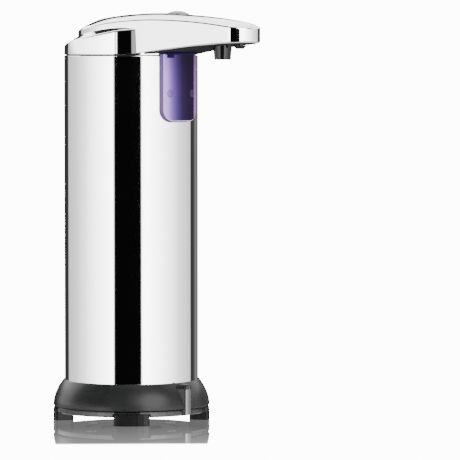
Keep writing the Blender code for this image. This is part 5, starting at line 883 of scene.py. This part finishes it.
def neck_strip_wedge():
    """Wedge between the seam and the rising lower edge of the head, right across it."""
    reach = BODY_RADIUS + 2.0 * FIT_GAP
    start = NECK_FLAT_SHARE * HEAD_LENGTH - ARCH_RADIUS
    outline = []
    for step in range(NECK_STRIP_STEPS + 1):
        ahead = start + (reach - start) * step / NECK_STRIP_STEPS
        outline.append((ahead, underside_height(ahead) + FIT_GAP))
    outline += [(reach, SEAM_HEIGHT - OVERRUN), (start, SEAM_HEIGHT - OVERRUN)]
    return loft([[(side, -ahead, height) for ahead, height in outline] for side in (-reach, reach)])


def head_outside():
    """Collar, dome, arch and spout in one piece, with the lower edge cut to its rise."""
    spigot = BODY_BORE - FIT_GAP
    low_rings = [(spigot, SPIGOT_BOTTOM), (spigot, COLLAR_BOTTOM)]
    bevel_top = COLLAR_BOTTOM + SEAM_BEVEL
    low_rings += rounded((BODY_RADIUS - SEAM_BEVEL, bevel_top), (SEAM_BEVEL, SEAM_BEVEL), -90.0, 0.0)
    head = new_piece("head_polished", dome_solid(0.0, low_rings, DOME_TOP_SHARE))
    join(head, arch_solid(0.0, arch_floor))
    strip = new_piece("strip", neck_strip_wedge())
    bottom, top = SEAM_HEIGHT - 2.0 * OVERRUN, SEAM_HEIGHT + HEAD_HEIGHT
    cut(strip, rod(BODY_RADIUS - NECK_STRIP_DEPTH, bottom, top, ROUND_SIDES))
    combine(head, strip, "DIFFERENCE")
    return head


def hollow_head(head):
    """Take out the room in the collar and the open channel of the spout."""
    cut(head, dome_solid(HEAD_WALL, [(BODY_RADIUS - HEAD_WALL, SPIGOT_BOTTOM - OVERRUN)], CAVITY_TOP_SHARE))
    channel = new_piece("hollow", arch_solid(HEAD_WALL, open_floor, HEAD_WALL))
    bottom, top = SEAM_HEIGHT - 2.0 * OVERRUN, SEAM_HEIGHT + NECK_RISE
    cut(channel, rod(BODY_RADIUS + FIT_GAP, bottom, top, ROUND_SIDES))
    combine(head, channel, "DIFFERENCE")


def open_head(head):
    """Cut the openings for the button, the filler cap and the window with its flange."""
    cut(head, rod(BUTTON_RADIUS + FIT_GAP, -OVERRUN, OVERRUN, SMALL_SIDES), button_place())
    bottom, top = SEAM_HEIGHT + HEAD_HEIGHT / 2.0, SEAM_HEIGHT + HEAD_HEIGHT + OVERRUN
    cut(head, rod(NECK_RADIUS, bottom, top, SMALL_SIDES, ahead=-NECK_BEHIND))
    bottom = SPIGOT_BOTTOM - OVERRUN
    cut(head, block(WINDOW_HALF_WIDTH + FIT_GAP, (WINDOW_REAR - WINDOW_WALL, FACE_RADIUS + FIT_GAP),
                    (bottom, WINDOW_TOP + FIT_GAP)))
    cut(head, block(FLANGE_HALF_WIDTH + FIT_GAP, (WINDOW_REAR - OVERRUN, BODY_BORE + FIT_GAP),
                    (bottom, SEAM_HEIGHT)))


def build_head(materials):
    head = head_outside()
    hollow_head(head)
    open_head(head)
    wear(head, materials)
    shade_seam(head, COLLAR_BOTTOM + SEAM_BEVEL / 2.0)
    stand_in(head, "head_shell")


# Button
def button_place():
    """The button's axis, square to the crown."""
    step = BUTTON_RADIUS / 2.0
    slope = (crown_height(BUTTON_AHEAD + step) - crown_height(BUTTON_AHEAD - step)) / (2.0 * step)
    middle = Matrix.Translation((0.0, -BUTTON_AHEAD, crown_height(BUTTON_AHEAD)))
    return middle @ Matrix.Rotation(-math.atan(slope), 4, "X")


def build_button(materials):
    """Domed button with a flange that keeps it in the head and a stem over the switch."""
    flange_top = -HEAD_WALL - 2.0 * FIT_GAP
    flange_bottom = flange_top - BUTTON_FLANGE_THICKNESS
    stem_bottom = flange_bottom - BUTTON_STEM_LENGTH
    profile = [
        (0.0, stem_bottom), (BUTTON_STEM_RADIUS, stem_bottom), (BUTTON_STEM_RADIUS, flange_bottom),
        (BUTTON_FLANGE_RADIUS, flange_bottom), (BUTTON_FLANGE_RADIUS, flange_top),
        (BUTTON_RADIUS, flange_top),
    ]
    for step in range(BUTTON_DOME_STEPS):
        share = step / BUTTON_DOME_STEPS
        rise = (BUTTON_CROWN - BUTTON_SKIRT_TOP) * (1.0 - (1.0 - share) ** BUTTON_DOME_POWER)
        profile.append((BUTTON_RADIUS * (1.0 - share), BUTTON_SKIRT_TOP + rise))
    profile.append((0.0, BUTTON_CROWN))
    button = new_piece("button_moulded", turned(profile, SMALL_SIDES), button_place())
    wear(button, materials)
    stand_in(button, "button_cap", "push_button")


# Window
def rounded_fall(place, half_width, corner):
    """How far a rounded corner has drawn an edge back at a place aside."""
    reach = abs(place) - (half_width - corner)
    return corner - math.sqrt(max(corner ** 2 - max(reach, 0.0) ** 2, 0.0))


def window_outline(half_width, bottom, top, corner, top_corner):
    """(Aside, height) points: along the lower edge to +X and back along the upper edge."""
    flat = half_width - corner
    places = [flat * step / WINDOW_STEPS for step in range(WINDOW_STEPS)]
    turns = [QUARTER_TURN * step / WINDOW_STEPS for step in range(WINDOW_STEPS + 1)]
    places += [flat + corner * math.sin(turn) for turn in turns]
    places = [-place for place in reversed(places[1:])] + places
    lower = [(place, bottom + rounded_fall(place, half_width, corner)) for place in places]
    upper = [(place, top - rounded_fall(place, half_width, top_corner)) for place in reversed(places)]
    return lower + upper


def window_shape(half_width, bottom, top, corner, top_corner, layers):
    """Solid through window outlines, each with its inset and its distance ahead by the place aside."""
    shape = bmesh.new()
    rows = []
    for inset, face in layers:
        outline = window_outline(
            half_width - inset, bottom + inset, top - inset,
            max(corner - inset, LEAST_CORNER), max(top_corner - inset, LEAST_CORNER),
        )
        rows.append([shape.verts.new((aside, -face(aside), height)) for aside, height in outline])
    bridge(shape, rows)
    last = len(rows[0]) - 1
    for row in (rows[0], rows[-1]):
        for index in range(last // 2):
            shape.faces.new((row[index], row[index + 1], row[last - 1 - index], row[last - index]))
    return shape


def flat_face(ahead):
    return lambda aside: ahead


def curved_face(radius):
    return lambda aside: math.sqrt(radius ** 2 - aside ** 2)


def window_look(face):
    """Name of a face's material, by its place and by how far it faces outwards."""
    outward = Vector((face.center.x, face.center.y - AXIS_Y)).normalized()
    facing = face.normal.x * outward.x + face.normal.y * outward.y
    if facing > FACE_FACING:
        return "window_face"
    # Faces at the top, under the head, take the navy painted shade
    if face.center.z > SHADE_BAND_BOTTOM:
        return "window_top"
    return "window_bevel" if facing > BEVEL_FACING else "window_side"


def build_window(materials):
    """Hollow bevelled lens with a flange behind the tube and room for the pump."""
    layers = [(0.0, flat_face(WINDOW_REAR))]
    bevel = rounded((WINDOW_BEVEL, FACE_RADIUS - WINDOW_BEVEL), (-WINDOW_BEVEL, WINDOW_BEVEL), 0.0, 90.0)
    layers += [(inset, curved_face(ahead)) for inset, ahead in bevel]
    window = new_piece("window_lens", window_shape(
        WINDOW_HALF_WIDTH, WINDOW_BOTTOM, WINDOW_TOP, WINDOW_CORNER, WINDOW_TOP_CORNER, layers))
    flange_rear = FLANGE_FRONT - FLANGE_THICKNESS
    join(window, block(FLANGE_HALF_WIDTH, (flange_rear, FLANGE_FRONT), (FLANGE_BOTTOM, FLANGE_TOP)))
    hollow = window_shape(
        WINDOW_HALF_WIDTH - WINDOW_WALL, WINDOW_BOTTOM + WINDOW_WALL, WINDOW_TOP - WINDOW_WALL,
        WINDOW_CORNER - WINDOW_WALL, WINDOW_TOP_CORNER,
        [(0.0, flat_face(WINDOW_REAR - OVERRUN)), (0.0, curved_face(FACE_RADIUS - WINDOW_FRONT_WALL))],
    )
    cut(window, hollow)
    bottom, top = FLANGE_TOP - OVERRUN, WINDOW_TOP + OVERRUN
    cut(window, rod(PUMP_ROOM_RADIUS, bottom, top, SMALL_SIDES, ahead=PUMP_ROOM_AHEAD))
    wear(window, materials)
    for face in window.data.polygons:
        face.material_index = WINDOW_MATERIALS.index(window_look(face))
    stand_in(window, "sensor_window")


# Base skirt
def rib_half_width(ahead):
    """The rib widens from its front edge towards the skirt."""
    return RIB_WIDTH / 2.0 + (RIB_FRONT - ahead) * RIB_SPLAY_SHARE


def skirt_radius(height):
    """Outer radius of the flared skirt."""
    share = (height - SKIRT_BOTTOM) / (SKIRT_TOP - SKIRT_BOTTOM)
    return LIP_RADIUS + SKIRT_FLARE * (1.0 - share ** 2)


def rib_nose():
    """Half outline of the rib's rounded front in plan, as (half width, ahead) points."""
    start = RIB_FRONT - RIB_NOSE
    width = rib_half_width(start)
    curve = rounded((0.0, start), (width, RIB_NOSE), 0.0, RIB_NOSE_TURN, RIB_NOSE_STEPS)
    return [(width, start)] + curve[1:]


def rib_bar(nose):
    """Upright bar of the rib, rounded over at its top."""
    loops = []
    for half, ahead in [(rib_half_width(LIP_RADIUS), LIP_RADIUS - RIB_SINK)] + nose:
        loop = [(-half, -ahead, SKIRT_BOTTOM), (half, -ahead, SKIRT_BOTTOM)]
        for aside, height in rounded((0.0, RIB_TOP), (half, RIB_ROUNDING), 0.0, 180.0, RIB_ROUNDING_STEPS):
            loop.append((aside, -ahead, height))
        loops.append(loop)
    return loft(loops)


def rib_foot(nose):
    """End of the rib that hangs below the skirt."""
    rear = RIB_FRONT - RIB_FOOT_DEPTH
    plan = [(rib_half_width(rear), rear)] + nose
    plan += [(-half, ahead) for half, ahead in reversed(plan)]
    heights = (SKIRT_BOTTOM - RIB_DROP, SKIRT_BOTTOM + SKIRT_EDGE)
    return loft([[(half, -ahead, height) for half, ahead in plan] for height in heights])


def on_rib(point):
    """Whether a point of the skirt's surface lies on the part of the rib that stands proud."""
    near_rib = abs(point.x) < rib_half_width(AXIS_Y - point.y) + WELD and point.z < RIB_TOP
    return near_rib and from_axis(point) > skirt_radius(point.z) + RIB_PROUD


def build_skirt(materials):
    """Flared skirt with its rib and the bores for the base screws."""
    profile = [(BASE_RADIUS - SKIRT_EDGE, SKIRT_BOTTOM)]
    for step in range(SKIRT_STEPS + 1):
        height = SKIRT_BOTTOM + SKIRT_EDGE + (SKIRT_TOP - SKIRT_BOTTOM - SKIRT_EDGE) * step / SKIRT_STEPS
        profile.append((skirt_radius(height), height))
    profile += [
        (BODY_RADIUS + FIT_GAP, SKIRT_TOP), (BODY_RADIUS + FIT_GAP, LEDGE_TOP),
        (BELL_OUTER + FIT_GAP, LEDGE_TOP), (BELL_OUTER + FIT_GAP, SKIRT_BOTTOM),
    ]
    skirt = new_piece("skirt_moulded", turned(profile, ROUND_SIDES))
    nose = rib_nose()
    join(skirt, rib_bar(nose))
    join(skirt, rib_foot(nose))
    for name in SCREW_NODES:
        low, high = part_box(name)
        centre = (low + high) / 2.0
        bore = rod((high.x - low.x) / 2.0 + FIT_GAP, low.z - OVERRUN, high.z + OVERRUN, BORE_SIDES)
        cut(skirt, bore, Matrix.Translation((centre.x, centre.y - AXIS_Y, 0.0)))
    wear(skirt, materials)
    for face in skirt.data.polygons:
        face.material_index = int(on_rib(face.center))
    stand_in(skirt, "base_skirt")


# Nozzle
def build_nozzle(materials):
    """Tapered nozzle with a bore and the flange that seats it under the spout."""
    top = nozzle_high.z
    flange = top - NOZZLE_FLANGE_HEIGHT
    bottom = nozzle_low.z
    profile = [
        (NOZZLE_BORE_RADIUS, top), (NOZZLE_FLANGE_RADIUS, top), (NOZZLE_FLANGE_RADIUS, flange),
        (NOZZLE_TOP_RADIUS, flange), (NOZZLE_TOP_RADIUS, flange - NOZZLE_STRAIGHT),
    ]
    corner = (NOZZLE_END_RADIUS - NOZZLE_EDGE, bottom + NOZZLE_EDGE)
    profile += rounded(corner, (NOZZLE_EDGE, NOZZLE_EDGE), 0.0, -90.0)
    profile.append((NOZZLE_BORE_RADIUS, bottom))
    place = Matrix.Translation((0.0, -NOZZLE_AHEAD, 0.0))
    nozzle = new_piece("nozzle_moulded", turned(profile, SMALL_SIDES), place)
    wear(nozzle, materials)
    stand_in(nozzle, "nozzle")


def finish_nodes():
    """Paint the carried-over nodes and build the detailed pieces."""
    finishes = {name: make(name, **look) for name, (make, look) in FINISHES.items()}
    for finish, names in NODES_BY_FINISH.items():
        for name in names:
            paint(name, finishes[finish])
    # The second material of the tube and the head is the black plastic, painted into the seam and the tube's
    # inside as shade
    build_tube([finishes["polished_steel"], finishes["plate_black"]])
    build_head([finishes["chrome_plating"], finishes["plate_black"]])
    build_button([finishes["button_silver"]])
    build_window([finishes[name] for name in WINDOW_MATERIALS])
    build_skirt([finishes["base_black"], finishes["rib_black"]])
    build_nozzle([finishes["nozzle_black"]])


# Studio
def grey(light):
    """Colour of a brightness, as a share of white."""
    return (light / WHITE,) * 3


def panels(tree, place, stops):
    """Ring of panels by the place round it, 0 to 1 from -180 to 180 degrees."""
    return ramp(tree, place, [((angle + 180.0) / 360.0, light / WHITE) for angle, light in stops])


def panel_ring(tree, toward, right, up):
    """Upright panels: those that the body mirrors, and a little above them the collar's."""
    place = spread(tree, math_node(tree, "ARCTAN2", right, toward), -math.pi, math.pi)
    lift = spread(tree, up, COLLAR_LIFT, COLLAR_LIFT + COLLAR_BLUR)
    return blend(tree, lift, panels(tree, place, BODY_PANELS), panels(tree, place, COLLAR_PANELS))


def add_ceiling(tree, colour, toward, right, up):
    """Above the panels: dark towards the camera, bright behind, with a bright patch overhead."""
    limit = spread(tree, right, -SIDE_REACH, SIDE_REACH, LEFT_LIMIT, RIGHT_LIMIT)
    near = spread(tree, math_node(tree, "SUBTRACT", toward, limit), -LIMIT_BLUR, LIMIT_BLUR)
    far_light = blend(tree, spread(tree, right, -TOP_REACH, TOP_REACH), grey(TOP_LIGHT), grey(SIDE_TOP_LIGHT))
    ceiling = blend(tree, near, far_light, grey(DARK_LIGHT))
    start = spread(tree, near, 0.0, 1.0, FAR_LIFT, DARK_LIFT)
    raised = math_node(tree, "MULTIPLY", math_node(tree, "SUBTRACT", up, start), LIFT_SHARPNESS)
    colour = blend(tree, spread(tree, raised, 0.0, 1.0), colour, ceiling)
    overhead = spread(tree, up, ZENITH - ZENITH_BLUR, ZENITH + ZENITH_BLUR)
    return blend(tree, overhead, colour, grey(ZENITH_LIGHT))


def add_depth(tree, colour, toward, up):
    """Below the panels: dark towards the camera, grey behind."""
    near = spread(tree, toward, LOW_LIMIT - LIMIT_BLUR, LOW_LIMIT + LIMIT_BLUR)
    depth = blend(tree, near, grey(LOW_LIGHT), grey(DARK_LIGHT))
    return blend(tree, spread(tree, up, DARK_DROP, DARK_DROP - DROP_BLUR), colour, depth)


def add_key(tree, colour, direction):
    """Round light on the camera's right, for the soft bright patch on the base."""
    level = VIEW * math.cos(KEY_TURN) + RIGHT * math.sin(KEY_TURN)
    axis = level * math.cos(KEY_RISE) + UP * math.sin(KEY_RISE)
    key = vector_node(tree, "DOT_PRODUCT", direction, axis)
    return blend(tree, spread(tree, key, *KEY_WIDTH), colour, grey(KEY_LIGHT))


def add_studio():
    """Panels and lights round the object as directions of the sky, plain white to the camera."""
    world = bpy.data.worlds.new("studio")
    bpy.context.scene.world = world
    world.use_nodes = True
    tree = world.node_tree
    direction = node(tree, "ShaderNodeTexCoord").outputs["Generated"]
    toward, right, up = (vector_node(tree, "DOT_PRODUCT", direction, axis) for axis in (VIEW, RIGHT, UP))
    colour = panel_ring(tree, toward, right, up)
    colour = add_ceiling(tree, colour, toward, right, up)
    colour = add_depth(tree, colour, toward, up)
    colour = add_key(tree, colour, direction)
    path = node(tree, "ShaderNodeLightPath")
    seen = math_node(tree, "MAXIMUM", path.outputs["Is Camera Ray"], path.outputs["Is Singular Ray"])
    colour = blend(tree, seen, colour, (1.0, 1.0, 1.0))
    fill(tree, tree.nodes["Background"], {"Color": colour, "Strength": WHITE})


def floor_material():
    """Plain white over a mirror that shows near the object's foot and then fades."""
    material, tree, unlit, place = new_material("floor_white")
    tree.nodes.remove(unlit)
    forward = vector_node(tree, "DOT_PRODUCT", place, VIEW)
    reach = spread(tree, math_node(tree, "SUBTRACT", forward, VIEW.y * AXIS_Y), MIRROR_START, MIRROR_END)
    camera_ray = node(tree, "ShaderNodeLightPath").outputs["Is Camera Ray"]
    strength = spread(tree, camera_ray, 0.0, 1.0, FLOOR_GLOW, WHITE)
    glow = node(tree, "ShaderNodeEmission", {"Strength": strength}).outputs["Emission"]
    mirror = node(tree, "ShaderNodeBsdfGlossy", {"Color": (1.0, 1.0, 1.0), "Roughness": 0.0}).outputs["BSDF"]
    both = node(tree, "ShaderNodeMixShader", {"Fac": ramp(tree, reach, MIRROR_STOPS), 1: glow, 2: mirror})
    fill(tree, tree.nodes["Material Output"], {"Surface": both.outputs["Shader"]})
    return material


def add_floor():
    """White floor that polished pieces don't mirror."""
    mesh = bpy.data.meshes.new("studio_floor")
    size = FLOOR_HALF_SIZE
    corners = [(-size, -size, 0.0), (size, -size, 0.0), (size, size, 0.0), (-size, size, 0.0)]
    mesh.from_pydata(corners, [], [(0, 1, 2, 3)])
    mesh.materials.append(floor_material())
    floor = bpy.data.objects.new("studio_floor", mesh)
    bpy.context.scene.collection.objects.link(floor)
    floor.visible_glossy = False


def add_camera():
    """Camera of the photograph, turned by YAW and tilted by PITCH from the straight look."""
    data = bpy.data.cameras.new("camera")
    data.lens = LENS_MM
    data.sensor_width = SENSOR_MM
    data.clip_start = CLIP_NEAR
    data.clip_end = CLIP_FAR
    camera = bpy.data.objects.new("camera", data)
    bpy.context.scene.collection.objects.link(camera)
    camera.location = Vector((0.0, AXIS_Y, CAMERA_HEIGHT)) + VIEW * CAMERA_DISTANCE
    look = Matrix.Rotation(-YAW, 3, "Z") @ -VIEW
    side = look.cross(UP).normalized()
    look = Matrix.Rotation(PITCH, 3, side) @ look
    camera.rotation_euler = look.to_track_quat("-Z", "Y").to_euler()
    bpy.context.scene.camera = camera


finish_nodes()
add_studio()
add_floor()
add_camera()
